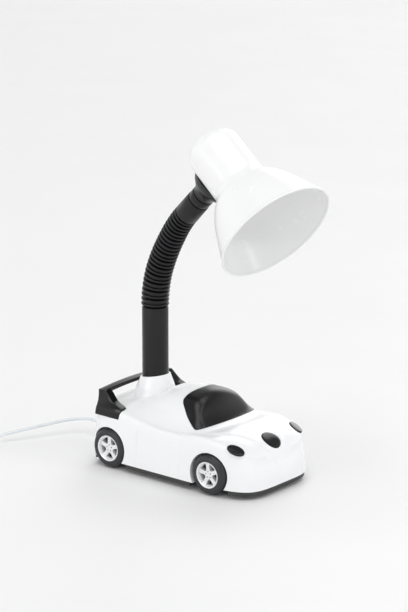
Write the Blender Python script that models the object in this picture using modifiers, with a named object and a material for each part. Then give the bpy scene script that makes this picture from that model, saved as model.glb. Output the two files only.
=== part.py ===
"""Child's desk lamp: a toy sports car carries a ribbed gooseneck and a bell-shaped shade.

Metres, +X toward the car's nose, +Y to its left, +Z up. The origin is on the table, under the
middle of the wheelbase, at the centre of the foam pad that the lamp stands on.
"""
import math

import bmesh
import bpy
from mathutils import Matrix, Vector

MM = 0.001
GAP = 0.3 * MM

# Car body
NOSE_X = 98.5 * MM
TAIL_X = -82 * MM
HALF_WIDTH = 52.8 * MM
BODY_BOTTOM = 8 * MM
WALL = 2.2 * MM
EDGE_ROUND = 4 * MM
DRAFT = 2 * MM
SHOULDER = ((-82, 54), (-60, 56), (-42, 55), (-25, 51.5), (-8, 49), (10, 48), (28, 48.7),
            (46, 50.6), (60, 51), (72, 50.5), (84, 49.6), (98.5, 49.3))
HOOD = ((-82, 55), (-60, 57), (-30, 54), (0, 52), (41, 52), (60, 51), (75, 50.3),
        (88, 49.4), (98.5, 48.8))
ROOF = 78.8
SCREEN_SIDE = ((60, 58.5), (60, 90), (13.6, 90), (12.8, 79), (10.8, 78), (8.8, 76), (8.4, 73.4),
               (9.4, 70.6), (15.3, 65.6), (20.6, 60.6), (27.6, 55.6), (32.5, 53), (36, 52.4), (41, 53.6))

# Wheels
AXLE_X = 58 * MM
AXLE_Z = 18.7 * MM
AXLE_RADIUS = 2 * MM
TYRE_RADIUS = 18.4 * MM
TYRE_WIDTH = 14 * MM
RIM_RADIUS = 12 * MM
ARCH_RADIUS = 19.7 * MM

# Base
BASE_BOTTOM = 3.9 * MM
PAD_SIZE = (104 * MM, 62 * MM)
BOSSES = ((-28, -44), (-28, 44), (28, -44), (28, 44))

# Neck
TUBE_X = -46 * MM
TUBE_RADIUS = 12 * MM
TUBE_TOP = 144 * MM
TUBE_STAND = Matrix.Translation((TUBE_X, 0, 0))
SOCKET_FLOOR = 28 * MM
NECK_LENGTH = 103.2 * MM
NECK_PIECES = 12
RIBS_PER_PIECE = 2
RIB_RADIUS = 12.7 * MM
RIB_TAPER = 1.8 * MM
# Lean of the neck from vertical in degrees, at lengths along it in millimetres.
NECK_LEAN = ((0, 0), (20, 11.7), (40, 23.3), (60, 30.6), (80, 35.2), (92, 40.8), (103.2, 47))
NECK_TURN = math.radians(-8.7)
SLEEVE_LENGTH = 22.5 * MM
RING_LENGTH = 8.4 * MM

# Shade
SHADE_DIP = math.radians(37)
MOUTH_REACH = 157.6 * MM
MOUTH_HEIGHT = 237.8 * MM
MOUTH_RADIUS = 54.2 * MM
SHADE_NECK_RADIUS = 24.5 * MM
SHADE_LENGTH = 107 * MM
SHADE_WALL = 0.9 * MM
SADDLE_STATION = 82 * MM

# Switch button
BUTTON_X = 88 * MM
BUTTON_RADIUS = 9.3 * MM

# Cord
CORD_RADIUS = 1.5 * MM
CORD_ROUTE = ((-86.5, 0, 15), (-104, 3, 15), (-120, 8, 14.8), (-134, 12, 14.3), (-147, 10, 13.6),
              (-157, -2, 12.8), (-164, -18, 11.6), (-173, -38, 9.8), (-183, -57, 7.4),
              (-191, -72, 4.4), (-197, -86, 2.4), (-200.7, -98, 1.9))
COIL_CENTRE = (-226 * MM, -104 * MM)
COIL_RADIUS = 18 * MM
COIL_HALF_WIDTH = 5.8 * MM
COIL_HEIGHT = 12.5 * MM


def clear_scene():
    for obj in list(bpy.data.objects):
        bpy.data.objects.remove(obj, do_unlink=True)


def new_collection(name):
    group = bpy.data.collections.new(name)
    bpy.context.scene.collection.children.link(group)
    return group


def material(name, colour, roughness, metallic=0.0):
    mat = bpy.data.materials.new(name)
    mat.use_nodes = True
    shader = mat.node_tree.nodes["Principled BSDF"]
    shader.inputs["Base Color"].default_value = (*colour, 1)
    shader.inputs["Roughness"].default_value = roughness
    shader.inputs["Metallic"].default_value = metallic
    return mat


def add_part(name, mesh, mat, matrix=None):
    """Put a mesh in the scene as a named sub-part with its own material."""
    obj = bpy.data.objects.new(name, mesh)
    mesh.materials.clear()
    mesh.materials.append(mat)
    mesh.shade_smooth()
    mesh.set_sharp_from_angle(angle=math.radians(35))
    if matrix is not None:
        obj.matrix_world = matrix
    PARTS.objects.link(obj)
    return obj


def add_cutter(name, mesh, matrix=None):
    """Put a mesh in the scene as a tool for Booleans, left out of the object."""
    obj = bpy.data.objects.new(name, mesh)
    obj.hide_render = True
    obj.display_type = "WIRE"
    if matrix is not None:
        obj.matrix_world = matrix
    CUTTERS.objects.link(obj)
    return obj


def boolean(target, tool, operation):
    mod = target.modifiers.new(f"{operation.lower()} {tool.name}", "BOOLEAN")
    mod.operation = operation
    mod.solver = "EXACT"
    mod.object = tool


def mesh_from(bm, name):
    bmesh.ops.recalc_face_normals(bm, faces=bm.faces)
    mesh = bpy.data.meshes.new(name)
    bm.to_mesh(mesh)
    bm.free()
    return mesh


def box_mesh(name, low, high, bevel=0.0):
    """A box between two corners, with its edges chamfered by bevel."""
    bm = bmesh.new()
    bmesh.ops.create_cube(bm, size=1)
    low, high = Vector(low), Vector(high)
    for vert in bm.verts:
        vert.co = Vector((low[i] + (vert.co[i] + 0.5) * (high[i] - low[i]) for i in range(3)))
    if bevel:
        bmesh.ops.bevel(bm, geom=bm.edges[:], offset=bevel, segments=2, profile=0.5,
                        affect="EDGES")
    return mesh_from(bm, name)


def rod_mesh(name, radius, low, high, sides=24, bevel=0.0, radius_top=None):
    """A round bar along local Z from low to high."""
    bm = bmesh.new()
    bmesh.ops.create_cone(bm, cap_ends=True, segments=sides, radius1=radius,
                          radius2=radius_top or radius, depth=high - low)
    bmesh.ops.translate(bm, verts=bm.verts, vec=(0, 0, (high + low) / 2))
    if bevel:
        rims = [e for e in bm.edges if abs(e.verts[0].co.z - e.verts[1].co.z) < bevel / 10]
        bmesh.ops.bevel(bm, geom=rims, offset=bevel, segments=2, profile=0.5, affect="EDGES")
    return mesh_from(bm, name)


def prism_mesh(name, outline, low, high):
    """A flat outline in local XY, extruded along local Z."""
    bm = bmesh.new()
    face = bm.faces.new([bm.verts.new((x, y, low)) for x, y in outline])
    lifted = bmesh.ops.extrude_face_region(bm, geom=[face])["geom"]
    top = [item for item in lifted if isinstance(item, bmesh.types.BMVert)]
    bmesh.ops.translate(bm, verts=top, vec=(0, 0, high - low))
    return mesh_from(bm, name)


def loft_mesh(name, rings, capped=True, joined_last=False):
    """A skin through rings of equal point counts, closed round each ring.

    joined_last closes the last ring onto itself, as a spine, and fixes every quad's diagonal so
    that slabs of any depth made from the skin nest in each other.
    """
    bm = bmesh.new()
    loops = [[bm.verts.new(point) for point in ring] for ring in rings]
    count = len(rings[0])
    for lower, upper in zip(loops, loops[1:]):
        for i in range(count):
            j = (i + 1) % count
            bm.faces.new((lower[i], lower[j], upper[j], upper[i]))
    if capped:
        bm.faces.new(reversed(loops[0]))
        bm.faces.new(loops[-1])
    if joined_last:
        bmesh.ops.remove_doubles(bm, verts=loops[-1], dist=0.05 * MM)
        bmesh.ops.triangulate(bm, faces=bm.faces[:])
    return mesh_from(bm, name)


def turned(name, profile, mat, matrix=None, steps=32, cutter=False):
    """A closed outline of (radius, height) points, running down its outer side, turned about Z."""
    mesh = bpy.data.meshes.new(name)
    points = [(radius, 0, height) for radius, height in profile]
    on_axis = profile[0][0] == 0 and profile[-1][0] == 0
    edges = [(i, i + 1) for i in range(len(points) - 1)]
    if not on_axis:
        edges.append((len(points) - 1, 0))
    mesh.from_pydata(points, edges, [])
    obj = add_cutter(name, mesh, matrix) if cutter else add_part(name, mesh, mat, matrix)
    screw = obj.modifiers.new("turn", "SCREW")
    screw.axis = "Z"
    screw.angle = math.tau
    screw.steps = steps
    screw.render_steps = steps
    screw.use_merge_vertices = True
    screw.merge_threshold = 0.00001
    screw.use_smooth_shade = True
    return obj


def tube_along(name, points, radius, mat, resolution=2):
    """A closed round wire through the given points."""
    curve = bpy.data.curves.new(name, "CURVE")
    curve.dimensions = "3D"
    curve.bevel_depth = radius
    curve.bevel_resolution = resolution
    curve.use_fill_caps = True
    spline = curve.splines.new("POLY")
    spline.points.add(len(points) - 1)
    for slot, point in zip(spline.points, points):
        slot.co = (*point, 1)
    curve.materials.append(mat)
    obj = bpy.data.objects.new(name, curve)
    PARTS.objects.link(obj)
    return obj


def smooth_curve(points, per_span):
    """Points along a Catmull-Rom curve through the given ones, both ends included."""
    padded = [points[0], *points, points[-1]]
    route = []
    for i in range(1, len(points)):
        a, b, c, d = (Vector(p) for p in padded[i - 1:i + 3])
        for step in range(per_span):
            t = step / per_span
            route.append(0.5 * (2 * b + (c - a) * t + (2 * a - 5 * b + 4 * c - d) * t * t
                                + (3 * b - a - 3 * c + d) * t ** 3))
    route.append(Vector(points[-1]))
    return route


def value_along(points, x):
    """Height of a smooth line through (x, height) points."""
    if x <= points[0][0]:
        return points[0][1]
    for i in range(len(points) - 1):
        x0, z0 = points[i]
        x1, z1 = points[i + 1]
        if x <= x1:
            before = points[max(i - 1, 0)]
            after = points[min(i + 2, len(points) - 1)]
            m0 = (z1 - before[1]) / (x1 - before[0]) * (x1 - x0)
            m1 = (after[1] - z0) / (after[0] - x0) * (x1 - x0)
            t = (x - x0) / (x1 - x0)
            return ((2 * t ** 3 - 3 * t ** 2 + 1) * z0 + (t ** 3 - 2 * t ** 2 + t) * m0
                    + (3 * t ** 2 - 2 * t ** 3) * z1 + (t ** 3 - t ** 2) * m1)
    return points[-1][1]


def smooth_step(t):
    t = min(max(t, 0), 1)
    return t * t * (3 - 2 * t)


# ---------------------------------------------------------------- body surface

def outline_norm(x, y):
    """1 on the car's plan outline, 0 at its middle: rounder at the nose than at the tail."""
    if x > 0:
        return (abs(x / NOSE_X) ** 5 + abs(y / HALF_WIDTH) ** 5) ** (1 / 5)
    return (abs(x / TAIL_X) ** 10 + abs(y / HALF_WIDTH) ** 10) ** (1 / 10)


def outline_point(angle, inset=0.0):
    """Point on the plan outline in the direction of angle, moved inward by inset."""
    direction = Vector((math.cos(angle) * NOSE_X, math.sin(angle) * HALF_WIDTH))
    direction /= outline_norm(*direction)
    if inset:
        shrink = Vector((1 - inset / NOSE_X, 1 - inset / HALF_WIDTH))
        direction = Vector((direction.x * shrink.x, direction.y * shrink.y))
    return direction


def body_height(x, y):
    """Height of the hood, fenders, greenhouse and tail above the table."""
    x_mm, y_mm = x / MM, abs(y / MM)
    ridge = value_along(SHOULDER, x_mm)
    hood = value_along(HOOD, x_mm)
    deck = hood + (ridge - hood) * smooth_step(y_mm / 44)
    panel_edge = 12 + (92 - x_mm) * 0.375
    deck += 1.2 * (1 - smooth_step((y_mm - panel_edge + 2) / 5)) * smooth_step((x_mm - 50) / 16)
    front = (max(x_mm + 5, 0) / 40.4) ** 10.5
    rear = (max(5 - x_mm, 0) / 39.6) ** 3
    toward_tail = smooth_step((12 - x_mm) / 36)
    side = (y_mm / (37.5 - 4 * toward_tail)) ** (10 - 5 * toward_tail)
    rise = max(1 / (1 + front + rear + side) - 0.02, 0) / 0.98
    roof = ROOF - 8.8 * (y_mm / 30) ** 1.9
    height = deck + (roof - deck) * rise
    reach = (abs(x / NOSE_X) ** 5 + abs(y_mm / 64) ** 5) ** (1 / 5)
    nose = min(max((reach - 0.61) / 0.39, 0), 1)
    height -= 21.8 * (1 - (1 - nose ** 2.2) ** (1 / 2.2)) * smooth_step((x_mm - 45) / 35)
    return height * MM


def ring_angles(count):
    """Directions round the outline, spaced closer at its corners."""
    even = [math.tau * (i + 0.5) / count for i in range(count)]
    return [a - 0.16 * math.sin(2 * a) + 0.05 * math.sin(4 * a) for a in even]


def body_rings(depth=0.0):
    """Rings from the body's lower edge, round its shoulder and in to its spine, sunk by depth."""
    count = 48
    angles = ring_angles(count)
    shoulder = [outline_point(a, DRAFT + EDGE_ROUND) for a in angles]
    top = [body_height(*p) for p in shoulder]
    lip = [body_height(*outline_point(a, 0.2 * MM)) - 1 * MM for a in angles]
    rings = [[(*outline_point(a, depth), BODY_BOTTOM) for a in angles]]
    rings.append([(*outline_point(a, DRAFT * 0.9 + depth), min(t - EDGE_ROUND * 1.4, z) - depth)
                  for a, t, z in zip(angles, top, lip)])
    for turn in (0.5, 1.0):
        ring = []
        for a, t in zip(angles, top):
            p = outline_point(a, depth + DRAFT + EDGE_ROUND * (1 - math.cos(turn * math.pi / 2)))
            surface = body_height(p.x, p.y)
            side = t - EDGE_ROUND * (1 - math.sin(turn * math.pi / 2))
            ring.append((p.x, p.y, (surface if turn == 1.0 else min(side, surface)) - depth))
        rings.append(ring)
    inner = [outline_point(a, depth + DRAFT + EDGE_ROUND) for a in angles]
    spine = [Vector((max(min(p.x * 0.85, 62 * MM), -58 * MM), 0)) for p in inner]
    for share in (0.1, 0.18, 0.26, 0.34, 0.44, 0.58, 0.76, 1.0):
        ring = []
        for p, s in zip(inner, spine):
            q = p.lerp(s, share)
            ring.append((q.x, q.y, body_height(q.x, q.y) - depth))
        rings.append(ring)
    return rings


def surface_frame(x, y):
    """Matrix on the body surface: local Z out of the surface, local X toward the nose."""
    step = 1 * MM
    slope_x = (body_height(x + step, y) - body_height(x - step, y)) / (2 * step)
    slope_y = (body_height(x, y + step) - body_height(x, y - step)) / (2 * step)
    normal = Vector((-slope_x, -slope_y, 1)).normalized()
    forward = Vector((1, 0, slope_x))
    forward = (forward - normal * forward.dot(normal)).normalized()
    across = normal.cross(forward)
    frame = Matrix((forward, across, normal)).transposed().to_4x4()
    frame.translation = Vector((x, y, body_height(x, y)))
    return frame


def skin_slab(name, inner, outer, part_material=None):
    """The body's upper skin as a slab from inner to outer, measured out of the surface."""
    mesh = loft_mesh(name, body_rings(), capped=False, joined_last=True)
    if part_material is None:
        obj = add_cutter(name, mesh)
    else:
        obj = add_part(name, mesh, part_material)
    mod = obj.modifiers.new("thickness", "SOLIDIFY")
    mod.thickness = outer - inner
    mod.offset = (outer + inner) / (outer - inner)
    return obj


def screen_prism(name, inset):
    """The windscreen's side outline, extruded right across the car."""
    outline = []
    centre = Vector((34, 68))
    for x, z in SCREEN_SIDE:
        point = Vector((x, z))
        toward = centre - point
        outline.append(point + toward.normalized() * inset / MM * 1.2 if inset else point)
    mesh = prism_mesh(name, [(p.x * MM, p.y * MM) for p in outline], -60 * MM, 60 * MM)
    turn = Matrix.Rotation(math.pi / 2, 4, "X")
    return add_cutter(name, mesh, turn)


def headlight_frame(side):
    frame = surface_frame(82.4 * MM, side * 42.7 * MM)
    return frame @ Matrix.Rotation(side * math.radians(-19), 4, "Z")


def oval_mesh(name, half_length, half_width, low, high, sides=24):
    outline = [(half_length * math.cos(math.tau * i / sides),
                half_width * math.sin(math.tau * i / sides)) for i in range(sides)]
    return prism_mesh(name, outline, low, high)


def collar_rings():
    """The white funnel round the tube: its rim tips forward, its foot melts into the deck."""
    rings = []
    for radius, height, tip in ((22, 56, 0), (19.8, 61, 0), (18.4, 65, 0), (17.6, 69, 0.04),
                                (15.8, 73.5, 0.1), (14, 77.3, 0.15), (13.5, 79.3, 0.16)):
        ring = []
        for i in range(32):
            a = math.tau * i / 32
            x = radius * MM * math.cos(a)
            y = radius * MM * math.sin(a)
            ring.append((TUBE_X + x, y, height * MM + tip * x))
        rings.append(ring)
    return rings


def wheel_rod(name, radius, x, y_inner, y_outer, sides=40):
    """A bar on a wheel's axis, from y_inner to y_outer."""
    mesh = rod_mesh(name, radius, min(y_inner, y_outer), max(y_inner, y_outer), sides)
    place = Matrix.Translation((x, 0, AXLE_Z)) @ Matrix.Rotation(-math.pi / 2, 4, "X")
    return add_cutter(name, mesh, place)


def side_plate_rings(side, margin):
    """One side plate of the spoiler, as level sections from its foot to the wing."""
    sections = ((48, -74.5, -46.4, 51.2, 3.4), (51, -74.3, -45.7, 51, 3.4),
                (54, -74.1, -45, 50.4, 3.6), (57, -73.8, -44.6, 49.2, 7.4),
                (58.6, -73.7, -49, 48.6, 7.6), (61, -73.6, -55, 47.9, 7.8),
                (64, -73.6, -59, 47.3, 8), (67, -73.8, -62, 46.8, 8), (70.3, -74, -65.5, 46.4, 8))
    rings = []
    for i, (z, rear, front, outer, thick) in enumerate(sections):
        lift = -margin if i == 0 else (margin if i == len(sections) - 1 else 0)
        y_out = side * (outer * MM + margin)
        y_in = side * ((outer - thick) * MM - margin)
        x_rear, x_front = rear * MM - margin, front * MM + margin
        rings.append([(x_rear, y_out, z * MM + lift), (x_front, y_out, z * MM + lift),
                      (x_front, y_in, z * MM + lift), (x_rear, y_in, z * MM + lift)])
    return rings


def build_body(mats):
    shell = skin_slab("body_shell", -WALL, 0, mats["white"])
    collar = add_cutter("collar solid", loft_mesh("collar solid", collar_rings()))
    boolean(shell, collar, "UNION")
    socket = add_cutter("tube socket", rod_mesh("tube socket", 15.2 * MM, SOCKET_FLOOR, 60 * MM, 32), TUBE_STAND)
    boolean(shell, socket, "UNION")
    inner_body = add_cutter("inner body", loft_mesh("inner body", body_rings(1 * MM), joined_last=True))
    for x in (-AXLE_X, AXLE_X):
        for side in (-1, 1):
            tag = f"{'front' if x > 0 else 'rear'} {'left' if side > 0 else 'right'}"
            well = wheel_rod(f"well {tag}", ARCH_RADIUS + 1.6 * MM, x, side * 36.4 * MM, side * 51.5 * MM)
            boolean(well, inner_body, "INTERSECT")
            boolean(shell, well, "UNION")
    for i, (x, y) in enumerate(BOSSES):
        place = Matrix.Translation((x * MM, y * MM, 0))
        roof = body_height(x * MM, y * MM) - 1.2 * MM
        boss = add_cutter(f"boss {i}", rod_mesh("boss", 3.6 * MM, BODY_BOTTOM, roof, 16), place)
        boolean(shell, boss, "UNION")
    for x in (-AXLE_X, AXLE_X):
        for side in (-1, 1):
            tag = f"{'front' if x > 0 else 'rear'} {'left' if side > 0 else 'right'}"
            arch = wheel_rod(f"arch {tag}", ARCH_RADIUS, x, side * 38 * MM, side * 60 * MM)
            boolean(shell, arch, "DIFFERENCE")
            slot = add_cutter(f"axle slot {tag}", box_mesh(
                "slot", (x - 2.6 * MM, side * 37.2 * MM - 4 * MM, 0),
                (x + 2.6 * MM, side * 37.2 * MM + 4 * MM, AXLE_Z + 2.6 * MM)))
            boolean(shell, slot, "DIFFERENCE")
    for i, (x, y) in enumerate(BOSSES):
        place = Matrix.Translation((x * MM, y * MM, 0))
        pilot = add_cutter(f"pilot {i}", rod_mesh("pilot", 1.7 * MM, 0, 24 * MM, 12), place)
        boolean(shell, pilot, "DIFFERENCE")
    bore = add_cutter("collar bore", rod_mesh("bore", TUBE_RADIUS + GAP, SOCKET_FLOOR + 3.5 * MM,
                                              100 * MM, 36), TUBE_STAND)
    boolean(shell, bore, "DIFFERENCE")
    core_way = add_cutter("core way", rod_mesh("core way", 5.9 * MM, 20 * MM, 40 * MM, 20), TUBE_STAND)
    boolean(shell, core_way, "DIFFERENCE")
    recess = skin_slab("screen recess", -1.5 * MM, 3 * MM)
    boolean(recess, screen_prism("screen opening", 0), "INTERSECT")
    boolean(shell, recess, "DIFFERENCE")
    for side in (-1, 1):
        word = "left" if side > 0 else "right"
        pocket = add_cutter(f"headlight pocket {word}",
                            oval_mesh("pocket", 8.3 * MM, 5.7 * MM, -1.5 * MM, 4 * MM),
                            headlight_frame(side))
        boolean(shell, pocket, "DIFFERENCE")
        notch = add_cutter(f"spoiler notch {word}",
                           loft_mesh("notch", side_plate_rings(side, GAP)))
        boolean(shell, notch, "DIFFERENCE")
    hole = add_cutter("button hole", rod_mesh("button hole", BUTTON_RADIUS + GAP, -8 * MM, 6 * MM, 32),
                      surface_frame(BUTTON_X, 0))
    boolean(shell, hole, "DIFFERENCE")
    exit_hole = add_cutter("cord exit", rod_mesh("cord exit", 4.2 * MM, -10 * MM, 10 * MM, 20),
                           Matrix.Translation((TAIL_X, 0, 15 * MM)) @ Matrix.Rotation(math.pi / 2, 4, "Y"))
    boolean(shell, exit_hole, "DIFFERENCE")

    screen = skin_slab("windscreen", -1.2 * MM, 0, mats["black gloss"])
    boolean(screen, screen_prism("screen edge", GAP), "INTERSECT")
    for side in (-1, 1):
        add_part("headlight_left" if side > 0 else "headlight_right",
                 oval_mesh("headlight", 8.0 * MM, 5.4 * MM, -1.2 * MM, 0.5 * MM),
                 mats["black gloss"], headlight_frame(side))
    return shell


def build_spoiler(mats):
    rings = []
    for i in range(13):
        y = (-46.2 + 92.4 * i / 12) * MM
        rise = 2.6 * MM * (1 - (y / (46.2 * MM)) ** 2)
        low, high = 66.8 * MM + rise, 70.3 * MM + rise
        rings.append([(-74 * MM, y, low + 0.6 * MM), (-73.6 * MM, y, high - 0.3 * MM),
                      (-72.8 * MM, y, high), (-67 * MM, y, high), (-65.8 * MM, y, high - 0.6 * MM),
                      (-65.6 * MM, y, low + 0.8 * MM), (-66.6 * MM, y, low)])
    wing = add_part("spoiler", loft_mesh("spoiler", rings), mats["black gloss"])
    for side in (-1, 1):
        word = "left" if side > 0 else "right"
        plate = add_cutter(f"side plate {word}", loft_mesh("side plate", side_plate_rings(side, 0)))
        boolean(wing, plate, "UNION")


def build_button(mats):
    """The round button's face carries the hood's curve; its stem presses the switch below."""
    frame = surface_frame(BUTTON_X, 0)
    profile = [(0, 3 * MM), (BUTTON_RADIUS, 3 * MM), (BUTTON_RADIUS, -7.4 * MM),
               (BUTTON_RADIUS + 1 * MM, -7.4 * MM), (BUTTON_RADIUS + 1 * MM, -8.4 * MM),
               (2 * MM, -8.4 * MM), (2 * MM, -14.6 * MM), (0, -14.6 * MM)]
    button = turned("switch_button", profile, mats["black gloss"], frame, steps=28)
    boolean(button, skin_slab("above the hood", 0.2 * MM, 7 * MM), "DIFFERENCE")
    body = box_mesh("switch_body", (-7 * MM, -7 * MM, -26 * MM), (7 * MM, 7 * MM, -11.2 * MM), 0.8 * MM)
    switch = add_part("switch_body", body, mats["black matt"], frame)
    guide = add_cutter("plunger guide", rod_mesh("guide", 2.3 * MM, -18 * MM, 0, 16), frame)
    boolean(switch, guide, "DIFFERENCE")


def wheel_profiles():
    half = TYRE_WIDTH / 2
    r, rim = TYRE_RADIUS, RIM_RADIUS
    tyre = [(rim + 0.3 * MM, half), (r - 3 * MM, half), (r - 1 * MM, half - 0.8 * MM),
            (r, half - 2.8 * MM), (r, -half + 2.8 * MM), (r - 2 * MM, -half), (rim + 0.3 * MM, -half)]
    rim_shape = [(0, half - 1.6 * MM), (9.8 * MM, half - 2.6 * MM), (10.9 * MM, half - 0.1 * MM),
                 (rim, half), (rim, -half), (10.4 * MM, -half), (10.4 * MM, 0), (3.6 * MM, 0),
                 (3.6 * MM, -half), (0, -half)]
    return tyre, rim_shape


def build_wheels(mats):
    tyre, rim_shape = wheel_profiles()
    for x, end in ((AXLE_X, "front"), (-AXLE_X, "rear")):
        for side, word in ((1, "left"), (-1, "right")):
            centre = side * (HALF_WIDTH - TYRE_WIDTH / 2)
            place = (Matrix.Translation((x, centre, AXLE_Z))
                     @ Matrix.Rotation(-side * math.pi / 2, 4, "X"))
            turned(f"tyre_{end}_{word}", tyre, mats["rubber"], place, steps=24)
            rim = turned(f"rim_{end}_{word}", rim_shape, mats["silver"], place, steps=20)
            for k in range(5):
                turn = Matrix.Rotation(math.tau * (k + 0.5) / 5, 4, "Z")
                window = [(4.4 * MM, 0), (8.6 * MM, -3.1 * MM), (9.6 * MM, 0), (8.6 * MM, 3.1 * MM)]
                tool = add_cutter(f"window {end} {word} {k}",
                                  prism_mesh("window", window, -8 * MM, 8 * MM), place @ turn)
                boolean(rim, tool, "DIFFERENCE")
            socket = add_cutter(f"rim socket {end} {word}",
                                rod_mesh("rim socket", AXLE_RADIUS + GAP, -9 * MM, 1.5 * MM, 16), place)
            boolean(rim, socket, "DIFFERENCE")
        reach = HALF_WIDTH - TYRE_WIDTH / 2 + 1.2 * MM
        lay = Matrix.Translation((x, 0, AXLE_Z)) @ Matrix.Rotation(-math.pi / 2, 4, "X")
        add_part(f"{end}_axle", rod_mesh("axle", AXLE_RADIUS, -reach, reach, 24), mats["steel"], lay)
        for side, word in ((1, "left"), (-1, "right")):
            y = side * 29 * MM
            block = add_part(f"bearing_{end}_{word}", box_mesh(
                "bearing", (x - 5 * MM, y - 3 * MM, 8 * MM), (x + 5 * MM, y + 3 * MM, 24 * MM), 0.8 * MM),
                mats["black matt"])
            bore = add_cutter(f"bearing bore {end} {word}", rod_mesh(
                "bearing bore", AXLE_RADIUS + 0.08 * MM, -50 * MM, 50 * MM, 24), lay)
            boolean(block, bore, "DIFFERENCE")


def build_base(mats):
    outline = [tuple(outline_point(a, 0.9 * MM)) for a in ring_angles(40)]
    plate = add_part("base_plate", prism_mesh("base_plate", outline, BASE_BOTTOM, BODY_BOTTOM - GAP),
                     mats["black matt"])
    for x in (-AXLE_X, AXLE_X):
        for side in (-1, 1):
            low = (x - 20.5 * MM, min(side * 38 * MM, side * 60 * MM), 0)
            high = (x + 20.5 * MM, max(side * 38 * MM, side * 60 * MM), 30 * MM)
            notch = add_cutter(f"wheel notch {x:.3f} {side}", box_mesh("wheel notch", low, high))
            boolean(plate, notch, "DIFFERENCE")
    for i, (x, y) in enumerate(BOSSES):
        place = Matrix.Translation((x * MM, y * MM, 0))
        head_well = add_cutter(f"head well {i}", rod_mesh("head well", 3.3 * MM, 0, 6.2 * MM, 16), place)
        clear = add_cutter(f"screw way {i}", rod_mesh("screw way", 1.7 * MM, 0, 12 * MM, 16), place)
        boolean(plate, head_well, "DIFFERENCE")
        boolean(plate, clear, "DIFFERENCE")
        profile = [(0, 21 * MM), (1.4 * MM, 20 * MM), (1.4 * MM, 5.9 * MM), (2.9 * MM, 5.9 * MM),
                   (2.9 * MM, 4.6 * MM), (2.2 * MM, 4.1 * MM), (0, 4.1 * MM)]
        turned(f"base_screw_{i + 1}", profile, mats["steel"], place, steps=14)
    half_x, half_y = PAD_SIZE[0] / 2, PAD_SIZE[1] / 2
    add_part("foam_pad", box_mesh("foam_pad", (-half_x, -half_y, 0), (half_x, half_y, BASE_BOTTOM - GAP)),
             mats["foam"])
    add_part("counterweight", box_mesh("counterweight", (-24 * MM, -30 * MM, 8 * MM),
                                       (46 * MM, 30 * MM, 27 * MM), 1.5 * MM), mats["iron"])


# ---------------------------------------------------------------- neck and head

def neck_angle(s):
    """Lean of the neck from vertical at length s along it."""
    for (low, lean_low), (high, lean_high) in zip(NECK_LEAN, NECK_LEAN[1:]):
        if s <= high * MM:
            share = max(s / MM - low, 0) / (high - low)
            return math.radians(lean_low + (lean_high - lean_low) * share)
    return math.radians(NECK_LEAN[-1][1])


def rib_radius(s):
    """The ribs grow slimmer toward the head."""
    return RIB_RADIUS - RIB_TAPER * (s / NECK_LENGTH) ** 1.8


def neck_frame(s):
    """Matrix at length s along the neck: local Z along it, local X in its plane of bend."""
    steps = 240
    length = min(s, NECK_LENGTH)
    reach, height = 0.0, TUBE_TOP
    for i in range(steps):
        angle = neck_angle((i + 0.5) * length / steps)
        reach += math.sin(angle) * length / steps
        height += math.cos(angle) * length / steps
    lean = neck_angle(length)
    reach += math.sin(lean) * (s - length)
    height += math.cos(lean) * (s - length)
    return head_frame(reach, height, lean)


def head_frame(reach, height, lean):
    """Matrix in the neck's plane, reach out from the tube's axis, its local Z leaning forward."""
    place = Matrix.Translation((TUBE_X, 0, 0)) @ Matrix.Rotation(NECK_TURN, 4, "Z")
    return place @ Matrix.Translation((reach, 0, height)) @ Matrix.Rotation(lean, 4, "Y")


def ring_at(frame, radius_x, radius_y=None, sides=14):
    radius_y = radius_y or radius_x
    return [frame @ Vector((radius_x * math.cos(math.tau * i / sides),
                            radius_y * math.sin(math.tau * i / sides), 0)) for i in range(sides)]


def neck_piece_mesh(name, start, end):
    """Two ribs of the hollow neck, lofted along its bend. V grooves let neighbours swing."""
    pitch = (end - start) / RIBS_PER_PIECE
    bore, root = 3.5 * MM, 9 * MM
    groove = rib_radius(end) - 1.7 * MM
    bore_room, root_room, rib_room = 0.3 * MM, 0.78 * MM, 1.15 * MM
    rings = [ring_at(neck_frame(start + bore_room), bore), ring_at(neck_frame(start + root_room), root)]
    for k in range(RIBS_PER_PIECE):
        low = start + k * pitch
        if k:
            rings.append(ring_at(neck_frame(low), groove))
        for s in (low + rib_room, low + pitch - rib_room):
            rings.append(ring_at(neck_frame(s), rib_radius(s)))
    rings.append(ring_at(neck_frame(end - root_room), root))
    rings.append(ring_at(neck_frame(end - bore_room), bore))
    rings.append(rings[0])
    bm = bmesh.new()
    loops = [[bm.verts.new(point) for point in ring] for ring in rings[:-1]]
    loops.append(loops[0])
    for lower, upper in zip(loops, loops[1:]):
        for i in range(len(lower)):
            j = (i + 1) % len(lower)
            bm.faces.new((lower[i], lower[j], upper[j], upper[i]))
    return mesh_from(bm, name)


def at_own_origin(mesh, frame):
    """Move a mesh's data so that its object can stand at the frame."""
    mesh.transform(frame.inverted())
    return mesh


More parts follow.
